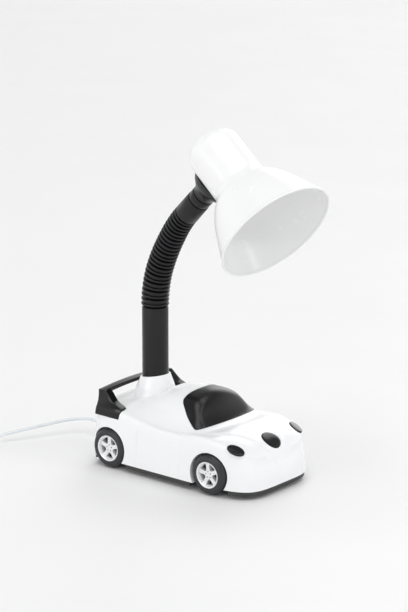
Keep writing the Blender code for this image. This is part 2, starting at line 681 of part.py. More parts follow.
def build_neck(mats):
    top, floor = TUBE_TOP - 0.7 * MM, SOCKET_FLOOR + 3.5 * MM + GAP
    inner = 10.2 * MM
    profile = [(inner, top), (TUBE_RADIUS - 0.6 * MM, top), (TUBE_RADIUS, top - 0.6 * MM),
               (TUBE_RADIUS, floor), (inner, floor)]
    turned("lower_tube", profile, mats["black satin"], TUBE_STAND, steps=30)
    foot = 21.8 * MM
    core = [(3.5 * MM, top - 2 * MM), (5.5 * MM, top - 2 * MM), (5.5 * MM, foot), (3.5 * MM, foot)]
    turned("gooseneck_core", core, mats["steel"], TUBE_STAND, steps=20)
    nut = add_part("core_nut", rod_mesh("core_nut", 9.4 * MM, foot, SOCKET_FLOOR - GAP, 6),
                   mats["steel"], TUBE_STAND)
    way = add_cutter("nut bore", rod_mesh("nut bore", 5.5 * MM + GAP, 0, 40 * MM, 20), TUBE_STAND)
    boolean(nut, way, "DIFFERENCE")

    step = NECK_LENGTH / NECK_PIECES
    for k in range(NECK_PIECES):
        name = f"neck_ribs_{k + 1:02d}"
        hinge = neck_frame(k * step)
        mesh = neck_piece_mesh(name, k * step, (k + 1) * step)
        add_part(name, at_own_origin(mesh, hinge), mats["black satin"], hinge)

    sleeve = [(6 * MM, SLEEVE_LENGTH), (10.3 * MM, SLEEVE_LENGTH), (10.7 * MM, SLEEVE_LENGTH - 0.5 * MM),
              (10.9 * MM, GAP), (6 * MM, GAP)]
    turned("neck_sleeve", sleeve, mats["black satin"], neck_frame(NECK_LENGTH), steps=24)
    ring = [(5.3 * MM, RING_LENGTH), (10.1 * MM, RING_LENGTH), (10.4 * MM, RING_LENGTH - 0.6 * MM),
            (10.4 * MM, GAP + 0.6 * MM), (9.8 * MM, GAP), (5.3 * MM, GAP)]
    turned("neck_ring", ring, mats["black satin"], neck_frame(NECK_LENGTH + SLEEVE_LENGTH), steps=24)


def shade_frame(station=0.0):
    """Matrix on the shade's axis, local Z from the mouth toward the closed end."""
    mouth = head_frame(MOUTH_REACH, MOUTH_HEIGHT, SHADE_DIP - math.pi / 2)
    return mouth @ Matrix.Translation((0, 0, station))


def shade_outer():
    """Outer profile of the shade as (radius, station), from the closed end to the mouth."""
    fillet = 11 * MM
    profile = [(0, SHADE_LENGTH)]
    for i in range(5):
        a = math.pi / 2 * (1 - i / 4)
        profile.append((SHADE_NECK_RADIUS - fillet + fillet * math.cos(a),
                        SHADE_LENGTH - fillet + fillet * math.sin(a)))
    bell = ((24.5, 58.5), (25.1, 55.2), (27.4, 51.6), (32, 46.4), (36.6, 40), (41.2, 31.6),
            (45.6, 21.4), (50, 10.6), (53.2, 2.4))
    profile += [(r * MM, s * MM) for r, s in bell]
    return profile


def build_head(mats):
    outer = shade_outer()
    rim = [(MOUTH_RADIUS, 1.6 * MM), (MOUTH_RADIUS + 0.2 * MM, 0.7 * MM), (MOUTH_RADIUS - 0.5 * MM, 0),
           (MOUTH_RADIUS - 1.5 * MM, 0.5 * MM)]
    inner = []
    for i in (13, 11, 9, 8, 7, 6, 5, 3, 1):
        before = Vector(outer[i - 1])
        after = Vector(outer[min(i + 1, len(outer) - 1)])
        along = (after - before).normalized()
        inward = Vector((along.y, -along.x))
        inner.append(tuple(Vector(outer[i]) + inward * SHADE_WALL))
    inner.append((0, SHADE_LENGTH - SHADE_WALL))
    shade = turned("shade", outer + rim + inner, mats["white"], shade_frame(), steps=34)
    nipple_axis = shade_frame(SADDLE_STATION) @ Matrix.Rotation(math.pi / 2, 4, "Y")
    way = add_cutter("nipple way", rod_mesh("nipple way", 4.7 * MM + GAP, -60 * MM, -15 * MM, 20),
                     nipple_axis)
    boolean(shade, way, "DIFFERENCE")

    start = neck_frame(NECK_LENGTH + SLEEVE_LENGTH + RING_LENGTH + GAP)
    contact = nipple_axis @ Matrix.Translation((0, 0, -SHADE_NECK_RADIUS))
    rings = []
    forward = contact.to_quaternion() @ Vector((1, 0, 0))
    for share, along, across, shift in ((0, 10.2, 10.2, 0), (0.22, 11, 10.5, 0), (0.45, 13.2, 11.8, 0.3),
                                        (0.7, 17, 14.2, 1.4), (1, 21.2, 16.8, 2.4), (1.35, 22.4, 18.2, 2.6)):
        position = start.translation.lerp(contact.translation, share) + forward * shift * MM
        turn = start.to_quaternion().slerp(contact.to_quaternion(), min(share, 1))
        frame = Matrix.Translation(position) @ turn.to_matrix().to_4x4()
        rings.append(ring_at(frame, along * MM, across * MM, sides=24))
    saddle = add_part("saddle", at_own_origin(loft_mesh("saddle", rings), start), mats["black satin"], start)
    seat = add_cutter("shade seat", rod_mesh("shade seat", SHADE_NECK_RADIUS + GAP, 40 * MM, 130 * MM, 44),
                      shade_frame())
    boolean(saddle, seat, "DIFFERENCE")
    boolean(saddle, way, "DIFFERENCE")

    nipple = [(3.4 * MM, -18.9 * MM), (4.7 * MM, -18.9 * MM), (4.7 * MM, -38 * MM), (3.4 * MM, -38 * MM)]
    turned("head_nipple", nipple, mats["steel"], nipple_axis, steps=20)
    nut = add_part("head_nut", rod_mesh("head_nut", 7.2 * MM, -22.2 * MM, -19.4 * MM, 6), mats["steel"],
                   nipple_axis)
    nut_way = add_cutter("head nut bore", rod_mesh("head nut bore", 4.7 * MM + GAP, -50 * MM, -10 * MM, 20),
                         nipple_axis)
    boolean(nut, nut_way, "DIFFERENCE")

    holder = [(0, 103 * MM), (15 * MM, 103 * MM), (18 * MM, 100 * MM), (18 * MM, 60 * MM),
              (14.6 * MM, 60 * MM), (14.6 * MM, 90 * MM), (0, 90 * MM)]
    turned("lamp_holder", holder, mats["ceramic"], shade_frame(), steps=28)
    screw_shell = [(13.6 * MM, 89 * MM), (14.2 * MM, 89 * MM), (14.2 * MM, 62 * MM), (13.6 * MM, 62 * MM)]
    turned("socket_shell", screw_shell, mats["brass"], shade_frame(), steps=24)
    contact_tab = [(0, 89.7 * MM), (4 * MM, 89.7 * MM), (4 * MM, 88.2 * MM), (2 * MM, 86.6 * MM),
                   (0, 86.6 * MM)]
    turned("socket_contact", contact_tab, mats["brass"], shade_frame(), steps=16)


def build_wiring(mats):
    tail = Matrix.Translation((TAIL_X, 0, 15 * MM)) @ Matrix.Rotation(-math.pi / 2, 4, "Y")
    gland = [(1.9 * MM, 4.2 * MM), (2.7 * MM, 4.2 * MM), (3.3 * MM, 3 * MM), (5 * MM, 1.8 * MM),
             (5.4 * MM, 0.3 * MM), (3.9 * MM, 0.3 * MM), (3.9 * MM, -2.6 * MM), (5 * MM, -2.6 * MM),
             (4.6 * MM, -5 * MM), (1.9 * MM, -5 * MM)]
    turned("cord_gland", gland, mats["black matt"], tail, steps=16)
    add_part("terminal_block", box_mesh("terminal_block", (-20 * MM, -8 * MM, 28 * MM),
                                        (0, 8 * MM, 38 * MM), 1 * MM), mats["ceramic"])
    inside = smooth_curve([(-76.5, 0, 15), (-71, 6, 17), (-62, 19, 26), (-45, 22, 31), (-30, 12, 33),
                           (-20.8, 4, 33)], 4)
    tube_along("supply_lead", [p * MM for p in inside], 1.2 * MM, mats["clear"], 1)
    route = smooth_curve([tuple(v * MM for v in p) for p in CORD_ROUTE], 2)
    tube_along("cord", route, CORD_RADIUS, mats["clear"], 2)
    low, high = 0.1 * MM, 0.1 * MM + COIL_HEIGHT
    inner, outer = COIL_RADIUS - COIL_HALF_WIDTH, COIL_RADIUS + COIL_HALF_WIDTH
    round_off = 2 * MM
    profile = [(inner, high - round_off), (inner + round_off, high), (outer - round_off, high),
               (outer, high - round_off), (outer, low + round_off), (outer - round_off, low),
               (inner + round_off, low), (inner, low + round_off)]
    turned("cord_coil", profile, mats["clear"], Matrix.Translation((*COIL_CENTRE, 0)), steps=28)
    plug = box_mesh("plug_body", (-265 * MM, -143 * MM, 0.3 * MM), (-243.6 * MM, -120.8 * MM, 14.3 * MM), 2 * MM)
    add_part("plug_body", plug, mats["clear"])
    for word, y in (("left", -125.55), ("right", -138.25)):
        blade = box_mesh("blade", (-281 * MM, (y - 0.75) * MM, 4.2 * MM),
                         (-265.3 * MM, (y + 0.75) * MM, 10.5 * MM))
        add_part(f"plug_blade_{word}", blade, mats["brass"])


def build():
    mats = {
        "white": material("white gloss", (0.86, 0.87, 0.88), 0.18),
        "black gloss": material("black gloss", (0.012, 0.012, 0.013), 0.12),
        "black satin": material("black satin", (0.016, 0.016, 0.017), 0.38),
        "black matt": material("black matt", (0.02, 0.02, 0.02), 0.6),
        "rubber": material("tyre rubber", (0.03, 0.03, 0.032), 0.55),
        "silver": material("silver paint", (0.75, 0.76, 0.78), 0.28, 0.7),
        "steel": material("zinc steel", (0.55, 0.55, 0.56), 0.35, 1.0),
        "iron": material("cast iron", (0.1, 0.1, 0.1), 0.7, 0.8),
        "brass": material("brass", (0.7, 0.52, 0.25), 0.3, 1.0),
        "ceramic": material("ceramic", (0.8, 0.79, 0.75), 0.35),
        "foam": material("foam", (0.04, 0.04, 0.04), 0.9),
        "clear": material("clear vinyl", (0.78, 0.8, 0.82), 0.15),
    }
    build_body(mats)
    build_spoiler(mats)
    build_button(mats)
    build_wheels(mats)
    build_base(mats)
    build_neck(mats)
    build_head(mats)
    build_wiring(mats)


clear_scene()
PARTS = new_collection("car_desk_lamp")
CUTTERS = new_collection("cutters")
build()
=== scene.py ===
"""Looks of a child's desk lamp: a toy sports car that carries a ribbed gooseneck and a bell shade.

Metres, +X toward the car's nose, +Y to its left, +Z up, origin on the table under the wheelbase.
"""

import math

import bmesh
import bpy
from mathutils import Matrix, Vector, noise


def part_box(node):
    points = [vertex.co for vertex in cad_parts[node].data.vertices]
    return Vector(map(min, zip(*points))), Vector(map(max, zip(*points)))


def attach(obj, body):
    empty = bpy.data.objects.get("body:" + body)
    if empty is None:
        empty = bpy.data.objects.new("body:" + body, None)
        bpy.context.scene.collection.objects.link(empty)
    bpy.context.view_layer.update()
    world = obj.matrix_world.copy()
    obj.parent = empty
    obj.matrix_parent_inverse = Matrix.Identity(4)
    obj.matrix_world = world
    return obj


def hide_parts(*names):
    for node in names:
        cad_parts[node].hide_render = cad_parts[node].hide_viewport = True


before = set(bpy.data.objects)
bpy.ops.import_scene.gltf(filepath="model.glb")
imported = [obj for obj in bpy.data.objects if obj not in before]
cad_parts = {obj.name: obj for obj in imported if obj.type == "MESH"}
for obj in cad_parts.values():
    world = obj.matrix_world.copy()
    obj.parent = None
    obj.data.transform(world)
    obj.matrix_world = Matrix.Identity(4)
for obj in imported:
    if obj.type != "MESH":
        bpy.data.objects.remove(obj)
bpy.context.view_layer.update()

MM = 0.001
GAP = 0.3 * MM

# Car body, as in the CAD source
NOSE_X = 98.5 * MM
TAIL_X = -82 * MM
HALF_WIDTH = 52.8 * MM
BODY_BOTTOM = 8 * MM
WALL = 2.2 * MM
EDGE_ROUND = 4 * MM
DRAFT = 2 * MM
NOSE_SWELL = 3.5 * MM
SWELL_START = 60 * MM
SWELL_REACH = 35 * MM
SHOULDER = ((-82, 54), (-60, 56), (-42, 55), (-25, 51.5), (-8, 49), (10, 48), (28, 48.7),
            (46, 50.6), (60, 51), (72, 50.5), (84, 49.6), (98.5, 49.3))
HOOD = ((-82, 55), (-60, 57), (-30, 54), (0, 52), (41, 52), (60, 51), (75, 50.3),
        (88, 49.4), (98.5, 48.8))
ROOF = 78.8
HOOD_PANEL = ((40, 44), (47, 40.5), (60, 31.5), (67, 27), (73, 23.6), (80, 20), (86, 16.8),
              (90, 14), (96, 8.5), (98.5, 5))
WINDOW_LINE = ((-52, 22), (-40.7, 23.5), (-18.4, 28.4), (-4.9, 30.9), (6.9, 34.3), (15.3, 37.6),
               (25.5, 42.7), (33, 47.5), (42, 54))
SCREEN_SIDE = ((60, 58.5), (60, 90), (13.6, 90), (12.8, 79), (10.8, 78), (8.8, 76), (8.4, 73.4),
               (9.4, 70.6), (15.3, 65.6), (20.6, 60.6), (27.6, 55.6), (32.5, 53), (36, 52.4), (41, 53.6))
DOOR_SEAMS = (-24, 27)
SEAM_DEPTH = 0.22 * MM

# Wheels
AXLE_X = 58 * MM
AXLE_Z = 18.7 * MM
AXLE_RADIUS = 2 * MM
TYRE_RADIUS = 18.4 * MM
TYRE_WIDTH = 14 * MM
RIM_RADIUS = 12 * MM
ARCH_RADIUS = 19.7 * MM
WHEEL_TURN = {"front": math.radians(-26), "rear": math.radians(-18)}

# Base
BASE_BOTTOM = 3.9 * MM
PAD_SIZE = (104 * MM, 62 * MM)
BOSSES = ((-28, -44), (-28, 44), (28, -44), (28, 44))

# Neck
TUBE_X = -46 * MM
TUBE_RADIUS = 12 * MM
TUBE_TOP = 144 * MM
SOCKET_FLOOR = 28 * MM
NECK_LENGTH = 103.2 * MM
NECK_PIECES = 12
RIBS_PER_PIECE = 2
RIB_RADIUS = 12.7 * MM
RIB_TAPER = 1.8 * MM
BALL_RADIUS = 8.4 * MM
# Lean of the neck from vertical in degrees, at lengths along it in millimetres.
NECK_LEAN = ((0, 0), (20, 11.7), (40, 23.3), (60, 30.6), (80, 35.2), (92, 40.8), (103.2, 47))
NECK_TURN = math.radians(-8.7)
SLEEVE_LENGTH = 22.5 * MM
RING_LENGTH = 8.4 * MM

# Shade
SHADE_DIP = math.radians(37)
MOUTH_REACH = 157.6 * MM
MOUTH_HEIGHT = 237.8 * MM
SHADE_NECK_RADIUS = 24.5 * MM
SHADE_LENGTH = 107 * MM
SHADE_WALL = 0.9 * MM
SADDLE_STATION = 82 * MM

# Switch button
BUTTON_X = 88 * MM
BUTTON_RADIUS = 9.3 * MM

# Cord
CORD_RADIUS = 1.5 * MM
CORD_ROUTE = ((-86.5, 0, 15), (-104, 3, 15), (-120, 8, 14.8), (-134, 12, 14.3), (-147, 10, 13.6),
              (-157, -2, 12.8), (-164, -18, 11.6), (-173, -38, 9.8), (-183, -57, 7.4),
              (-191, -72, 4.4), (-197, -86, 2.4), (-200.7, -98, 1.9))
COIL_CENTRE = Vector((-226 * MM, -104 * MM, 0))
COIL_OUTER_TURN = 22 * MM
COIL_LAYERS = 4
COIL_PITCH = 3.05 * MM
COIL_TURNS = 11
PLUG_MOUTH = Vector((-243.6 * MM, -131.9 * MM, 7.3 * MM))

# Camera, at the photograph's viewing angle
CAMERA_PLACE = Vector((1.2399, -1.4885, 0.6628))
CAMERA_BACK = Vector((0.6155, -0.7456, 0.2555))
CAMERA_RIGHT = Vector((0.771, 0.6368, 0.0012))
CAMERA_LENS = 88.33
SENSOR_HEIGHT = 24

# Studio light: a pale room, darker overhead, with a wide soft sky light and two softboxes
SKY_LOW = 1.15
SKY_HIGH = 0.36
OVERHEAD_SPREAD = 60
OVERHEAD_POWER = 1.4
# name, azimuth and elevation in degrees from the car, distance, size, power
SOFTBOXES = (("under the shade", 17, 32, 2.1, (0.3, 0.26), 4.2),
             ("near side", -105, 16, 2.2, (1.3, 0.7), 6.5))
# A brighter patch of the room: azimuth and elevation in degrees, its radius, its extra light
PATCH = (108, 27, 18, 2.0)


# ---------------------------------------------------------------- camera, floor and light

def direction(azimuth, elevation):
    a, e = math.radians(azimuth), math.radians(elevation)
    return Vector((math.cos(a) * math.cos(e), math.sin(a) * math.cos(e), math.sin(e)))


def area_light(name, place, target, size, power):
    """A soft rectangular light at place, facing target, out of the camera's sight."""
    data = bpy.data.lights.new(name, "AREA")
    data.shape = "RECTANGLE"
    data.size, data.size_y = size
    data.energy = power
    lamp = bpy.data.objects.new(name, data)
    lamp.location = place
    lamp.rotation_mode = "QUATERNION"
    lamp.rotation_quaternion = (Vector(place) - Vector(target)).to_track_quat("Z", "Y")
    lamp.visible_camera = False
    bpy.context.scene.collection.objects.link(lamp)


def build_studio():
    scene = bpy.context.scene
    data = bpy.data.cameras.new("camera")
    data.sensor_fit = "VERTICAL"
    data.sensor_height = SENSOR_HEIGHT
    data.lens = CAMERA_LENS
    data.clip_start = 0.05
    data.clip_end = 50
    camera = bpy.data.objects.new("camera", data)
    back = CAMERA_BACK.normalized()
    right = (CAMERA_RIGHT - back * CAMERA_RIGHT.dot(back)).normalized()
    turn = Matrix((right, back.cross(right), back)).transposed().to_4x4()
    camera.matrix_world = Matrix.Translation(CAMERA_PLACE) @ turn
    scene.collection.objects.link(camera)
    scene.camera = camera

    scene.view_settings.view_transform = "Standard"
    world = bpy.data.worlds.new("studio")
    world.use_nodes = True
    nodes, links = world.node_tree.nodes, world.node_tree.links
    place = nodes.new("ShaderNodeTexCoord")
    parts = nodes.new("ShaderNodeSeparateXYZ")
    links.new(place.outputs["Generated"], parts.inputs["Vector"])
    fade = nodes.new("ShaderNodeMapRange")
    fade.interpolation_type = "SMOOTHSTEP"
    fade.inputs["From Min"].default_value = 0.05
    fade.inputs["From Max"].default_value = 0.75
    fade.inputs["To Min"].default_value = SKY_LOW
    fade.inputs["To Max"].default_value = SKY_HIGH
    links.new(parts.outputs["Z"], fade.inputs["Value"])
    toward = nodes.new("ShaderNodeVectorMath")
    toward.operation = "DOT_PRODUCT"
    azimuth, elevation, radius, extra = PATCH
    toward.inputs[1].default_value = direction(azimuth, elevation)
    links.new(place.outputs["Generated"], toward.inputs[0])
    patch = nodes.new("ShaderNodeMapRange")
    patch.interpolation_type = "SMOOTHSTEP"
    patch.inputs["From Min"].default_value = math.cos(math.radians(radius * 1.25))
    patch.inputs["From Max"].default_value = math.cos(math.radians(radius * 0.7))
    patch.inputs["To Max"].default_value = extra
    links.new(toward.outputs["Value"], patch.inputs["Value"])
    total = nodes.new("ShaderNodeMath")
    links.new(fade.outputs["Result"], total.inputs[0])
    links.new(patch.outputs["Result"], total.inputs[1])
    nodes["Background"].inputs["Color"].default_value = (1, 1, 1, 1)
    links.new(total.outputs["Value"], nodes["Background"].inputs["Strength"])
    scene.world = world

    bm = bmesh.new()
    bmesh.ops.create_circle(bm, cap_ends=True, segments=96, radius=9)
    floor = bpy.data.objects.new("studio_floor", mesh_from(bm, "studio_floor"))
    floor.data.materials.append(finish("studio floor", (0.81, 0.81, 0.81), (0.83, 0.83, 0.83), (0.5, 0.65),
                                       grain=3, relief=0))
    scene.collection.objects.link(floor)

    sun = bpy.data.lights.new("overhead", "SUN")
    sun.angle = math.radians(OVERHEAD_SPREAD)
    sun.energy = OVERHEAD_POWER
    lamp = bpy.data.objects.new("overhead", sun)
    lamp.rotation_euler = (math.radians(8), math.radians(10), 0)
    scene.collection.objects.link(lamp)
    aim = Vector((0, 0, 0.15))
    for name, azimuth, elevation, distance, size, power in SOFTBOXES:
        area_light(name, aim + direction(azimuth, elevation) * distance, aim, size, power)


# ---------------------------------------------------------------- materials

def finish(name, dark, light, rough, metallic=0.0, grain=60, relief=0.1, relief_grain=900,
           relief_depth=0.03, coat=0.0, specular=0.5):
    """A surface whose colour and roughness drift with a soft noise, over a fine relief."""
    mat = bpy.data.materials.new(name)
    mat.use_nodes = True
    nodes, links = mat.node_tree.nodes, mat.node_tree.links
    shader = nodes["Principled BSDF"]
    shader.inputs["Metallic"].default_value = metallic
    shader.inputs["Coat Weight"].default_value = coat
    shader.inputs["Coat Roughness"].default_value = 0.06
    shader.inputs["Specular IOR Level"].default_value = specular
    place = nodes.new("ShaderNodeTexCoord")
    drift = nodes.new("ShaderNodeTexNoise")
    drift.inputs["Scale"].default_value = grain
    drift.inputs["Detail"].default_value = 4
    links.new(place.outputs["Object"], drift.inputs["Vector"])
    tint = nodes.new("ShaderNodeMix")
    tint.data_type = "RGBA"
    tint.inputs["A"].default_value = (*dark, 1)
    tint.inputs["B"].default_value = (*light, 1)
    links.new(drift.outputs["Fac"], tint.inputs["Factor"])
    links.new(tint.outputs["Result"], shader.inputs["Base Color"])
    smudge = nodes.new("ShaderNodeTexNoise")
    smudge.inputs["Scale"].default_value = grain * 2.3
    smudge.inputs["Detail"].default_value = 5
    links.new(place.outputs["Object"], smudge.inputs["Vector"])
    gloss = nodes.new("ShaderNodeMapRange")
    gloss.inputs["From Min"].default_value = 0.3
    gloss.inputs["From Max"].default_value = 0.7
    gloss.inputs["To Min"].default_value = rough[0]
    gloss.inputs["To Max"].default_value = rough[1]
    links.new(smudge.outputs["Fac"], gloss.inputs["Value"])
    links.new(gloss.outputs["Result"], shader.inputs["Roughness"])
    if relief:
        skin = nodes.new("ShaderNodeTexNoise")
        skin.inputs["Scale"].default_value = relief_grain
        skin.inputs["Detail"].default_value = 3
        links.new(place.outputs["Object"], skin.inputs["Vector"])
        bump = nodes.new("ShaderNodeBump")
        bump.inputs["Strength"].default_value = relief
        bump.inputs["Distance"].default_value = relief_depth * MM
        links.new(skin.outputs["Fac"], bump.inputs["Height"])
        links.new(bump.outputs["Normal"], shader.inputs["Normal"])
    return mat


def make_materials():
    return {
        "white_body": finish("gloss white plastic", (0.87, 0.878, 0.89), (0.905, 0.912, 0.92), (0.14, 0.22),
                             grain=45, relief=0.15, relief_grain=350, relief_depth=0.02, coat=0.15),
        "white_shade": finish("white enamel", (0.86, 0.862, 0.866), (0.9, 0.902, 0.906), (0.2, 0.28),
                              grain=30, relief=0.2, relief_grain=500, relief_depth=0.02, specular=0.4),
        "gloss_black": finish("polished black", (0.005, 0.005, 0.006), (0.009, 0.009, 0.01), (0.07, 0.13),
                              grain=70, relief=0.1, relief_grain=300, relief_depth=0.01, specular=0.35),
        "screen_black": finish("smoked black", (0.005, 0.005, 0.006), (0.01, 0.01, 0.011), (0.2, 0.27),
                               grain=50, relief=0, specular=0.4),
        "neck_black": finish("satin black", (0.007, 0.007, 0.008), (0.012, 0.012, 0.013), (0.28, 0.38),
                             grain=90, relief=0.1, relief_grain=1200, relief_depth=0.02, specular=0.3),
        "base_black": finish("matt black", (0.03, 0.03, 0.03), (0.048, 0.048, 0.047), (0.5, 0.65),
                             grain=120, relief=0.5, relief_grain=3000, relief_depth=0.03),
        "pad_rubber": finish("foam rubber", (0.025, 0.025, 0.026), (0.05, 0.05, 0.052), (0.8, 0.95),
                             grain=700, relief=0.9, relief_grain=1800, relief_depth=0.25),
        "tyre_rubber": finish("tyre rubber", (0.014, 0.015, 0.017), (0.024, 0.026, 0.028), (0.3, 0.42),
                              grain=160, relief=0.2, relief_grain=2200, relief_depth=0.02, specular=0.5),
        "rim_silver": finish("silver paint", (0.8, 0.81, 0.82), (0.9, 0.905, 0.91), (0.25, 0.36),
                             metallic=0.35, grain=2600, relief=0.25, relief_grain=3500,
                             relief_depth=0.02, coat=0.4),
        "steel": finish("zinc plated steel", (0.42, 0.42, 0.43), (0.62, 0.62, 0.63), (0.25, 0.45),
                        metallic=1.0, grain=400, relief=0.3, relief_grain=2500, relief_depth=0.03),
        "weight_iron": finish("cast iron", (0.06, 0.06, 0.062), (0.14, 0.135, 0.13), (0.55, 0.8),
                              metallic=0.8, grain=220, relief=0.9, relief_grain=900, relief_depth=0.3),
        "holder_plastic": finish("moulded holder", (0.72, 0.71, 0.68), (0.83, 0.82, 0.79), (0.3, 0.45),
                                 grain=110, relief=0.3, relief_grain=1500, relief_depth=0.04),
        "brass": finish("plated brass", (0.58, 0.42, 0.18), (0.78, 0.6, 0.3), (0.2, 0.36),
                        metallic=1.0, grain=500, relief=0.2, relief_grain=2500, relief_depth=0.02),
        "cord_vinyl": finish("clear vinyl", (0.68, 0.71, 0.75), (0.82, 0.85, 0.88), (0.08, 0.18),
                             grain=140, relief=0.3, relief_grain=1200, relief_depth=0.03, coat=0.6),
        # Painted shade: a dark finish for the disc behind the wheels' spoke windows and the cones in their
        # bolt holes, standing in for the shade inside the wheel and in the holes.
        "painted_shade": finish("painted shade in holes", (0.018, 0.018, 0.019), (0.034, 0.034, 0.035), (0.45, 0.6),
                            grain=300, relief=0.2),
        "tie_black": finish("tie wrap", (0.02, 0.02, 0.021), (0.04, 0.04, 0.042), (0.35, 0.5),
                            grain=500, relief=0.5, relief_grain=3500, relief_depth=0.05),
    }


# ---------------------------------------------------------------- mesh helpers

def mesh_from(bm, name):
    bmesh.ops.recalc_face_normals(bm, faces=bm.faces)
    mesh = bpy.data.meshes.new(name)
    bm.to_mesh(mesh)
    bm.free()
    return mesh


def place_object(name, mesh, matrix=None):
    obj = bpy.data.objects.new(name, mesh)
    if matrix is not None:
        obj.matrix_world = matrix
    bpy.context.scene.collection.objects.link(obj)
    return obj


def smooth(mesh, sharp=35):
    mesh.shade_smooth()
    mesh.set_sharp_from_angle(angle=math.radians(sharp))


def show(name, mesh, slot, body, nodes=(), matrix=None, sharp=35, mat=None):
    """A finished piece that rides on a body and stands for CAD nodes."""
    obj = mesh if isinstance(mesh, bpy.types.Object) else place_object(name, mesh, matrix)
    obj.name = name
    mesh = obj.data
    if obj.type == "MESH":
        mesh.transform(obj.matrix_world)
        obj.matrix_world = Matrix.Identity(4)
    mesh.materials.clear()
    mesh.materials.append(mat or MATERIALS[slot])
    if obj.type == "MESH":
        smooth(mesh, sharp)
    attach(obj, body)
    if nodes:
        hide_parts(*nodes)
    return obj


def settle(obj):
    """Turn an object's modifiers into its mesh."""
    bpy.context.view_layer.update()
    graph = bpy.context.evaluated_depsgraph_get()
    mesh = bpy.data.meshes.new_from_object(obj.evaluated_get(graph))
    obj.modifiers.clear()
    obj.data = mesh
    return obj


def boolean(target, tools, operation):
    """Join, cut or trim target with all the tools at once, and take the tools away."""
    group = bpy.data.collections.new(f"{operation} tools")
    bpy.context.scene.collection.children.link(group)
    for tool in tools:
        group.objects.link(tool)
    mod = target.modifiers.new(operation, "BOOLEAN")
    mod.operation = operation
    mod.solver = "EXACT"
    mod.operand_type = "COLLECTION"
    mod.collection = group
    settle(target)
    for tool in tools:
        bpy.data.objects.remove(tool, do_unlink=True)
    bpy.data.collections.remove(group)
    return target


def loft(name, rings, capped=True, closed_along=False, merge_last=False):
    """A skin through rings of equal point counts."""
    bm = bmesh.new()
    loops = [[bm.verts.new(point) for point in ring] for ring in rings]
    if closed_along:
        loops.append(loops[0])
    count = len(rings[0])
    for lower, upper in zip(loops, loops[1:]):
        for i in range(count):
            j = (i + 1) % count
            bm.faces.new((lower[i], lower[j], upper[j], upper[i]))
    if capped and not closed_along:
        bm.faces.new(reversed(loops[0]))
        if not merge_last:
            bm.faces.new(loops[-1])
    if merge_last:
        bmesh.ops.remove_doubles(bm, verts=loops[-1], dist=0.05 * MM)
    return mesh_from(bm, name)


def lathe(name, profile, steps=72, frame_at=None):
    """A closed (radius, height) outline turned about Z, or about a bent line through frame_at."""
    bm = bmesh.new()
    loops = []
    for radius, height in profile:
        base = frame_at(height) if frame_at else Matrix.Translation((0, 0, height))
        if radius < 1e-7:
            loops.append([bm.verts.new(base.translation)])
            continue
        loops.append([bm.verts.new(base @ Vector((radius * math.cos(math.tau * i / steps),
                                                  radius * math.sin(math.tau * i / steps), 0)))
                      for i in range(steps)])
    for lower, upper in zip(loops, loops[1:] + loops[:1]):
        for i in range(steps):
            j = (i + 1) % steps
            corners = [lower[i % len(lower)], lower[j % len(lower)],
                       upper[j % len(upper)], upper[i % len(upper)]]
            corners = list(dict.fromkeys(corners))
            if len(corners) > 2:
                bm.faces.new(corners)
    return mesh_from(bm, name)


def rod(name, radius, low, high, sides=64, matrix=None, bevel=0.0):
    profile = [(0, high), (radius - bevel, high), (radius, high - bevel), (radius, low + bevel),
               (radius - bevel, low), (0, low)]
    if not bevel:
        profile = [(0, high), (radius, high), (radius, low), (0, low)]
    return place_object(name, lathe(name, profile, sides), matrix)


def prism(name, outline, low, high, matrix=None):
    """A flat outline in local XY, extruded along local Z."""
    rings = [[(x, y, z) for x, y in outline] for z in (low, high)]
    return place_object(name, loft(name, rings), matrix)


def box_tool(name, low, high, bevel=0.0):
    bm = bmesh.new()
    bmesh.ops.create_cube(bm, size=1)
    for vert in bm.verts:
        vert.co = Vector([low[i] + (vert.co[i] + 0.5) * (high[i] - low[i]) for i in range(3)])
    if bevel:
        bmesh.ops.bevel(bm, geom=bm.edges[:], offset=bevel, segments=4, profile=0.5, affect="EDGES")
    return place_object(name, mesh_from(bm, name))


def smooth_curve(points, per_span):
    """Points along a Catmull-Rom curve through the given ones, both ends included."""
    padded = [points[0], *points, points[-1]]
    route = []
    for i in range(1, len(points)):
        a, b, c, d = (Vector(p) for p in padded[i - 1:i + 3])
        for step in range(per_span):
            t = step / per_span
            route.append(0.5 * (2 * b + (c - a) * t + (2 * a - 5 * b + 4 * c - d) * t * t
                                + (3 * b - a - 3 * c + d) * t ** 3))
    route.append(Vector(points[-1]))
    return route


def value_along(points, x):
    """Height of a smooth line through (x, height) points."""
    if x <= points[0][0]:
        return points[0][1]
    for i in range(len(points) - 1):
        x0, z0 = points[i]
        x1, z1 = points[i + 1]
        if x <= x1:
            before = points[max(i - 1, 0)]
            after = points[min(i + 2, len(points) - 1)]
            m0 = (z1 - before[1]) / (x1 - before[0]) * (x1 - x0)
            m1 = (after[1] - z0) / (after[0] - x0) * (x1 - x0)
            t = (x - x0) / (x1 - x0)
            return ((2 * t ** 3 - 3 * t ** 2 + 1) * z0 + (t ** 3 - 2 * t ** 2 + t) * m0
                    + (3 * t ** 2 - 2 * t ** 3) * z1 + (t ** 3 - t ** 2) * m1)
    return points[-1][1]


def smooth_step(t):
    t = min(max(t, 0), 1)
    return t * t * (3 - 2 * t)


def rounded_box(half_x, half_y, radius, per_corner=6):
    """A rectangle with round corners, as points in order."""
    points = []
    for k, (sx, sy) in enumerate(((1, 1), (-1, 1), (-1, -1), (1, -1))):
        for i in range(per_corner + 1):
            a = math.pi / 2 * (k + i / per_corner)
            points.append((sx * (half_x - radius) + radius * math.cos(a),
                           sy * (half_y - radius) + radius * math.sin(a)))
    return points


# ---------------------------------------------------------------- car body

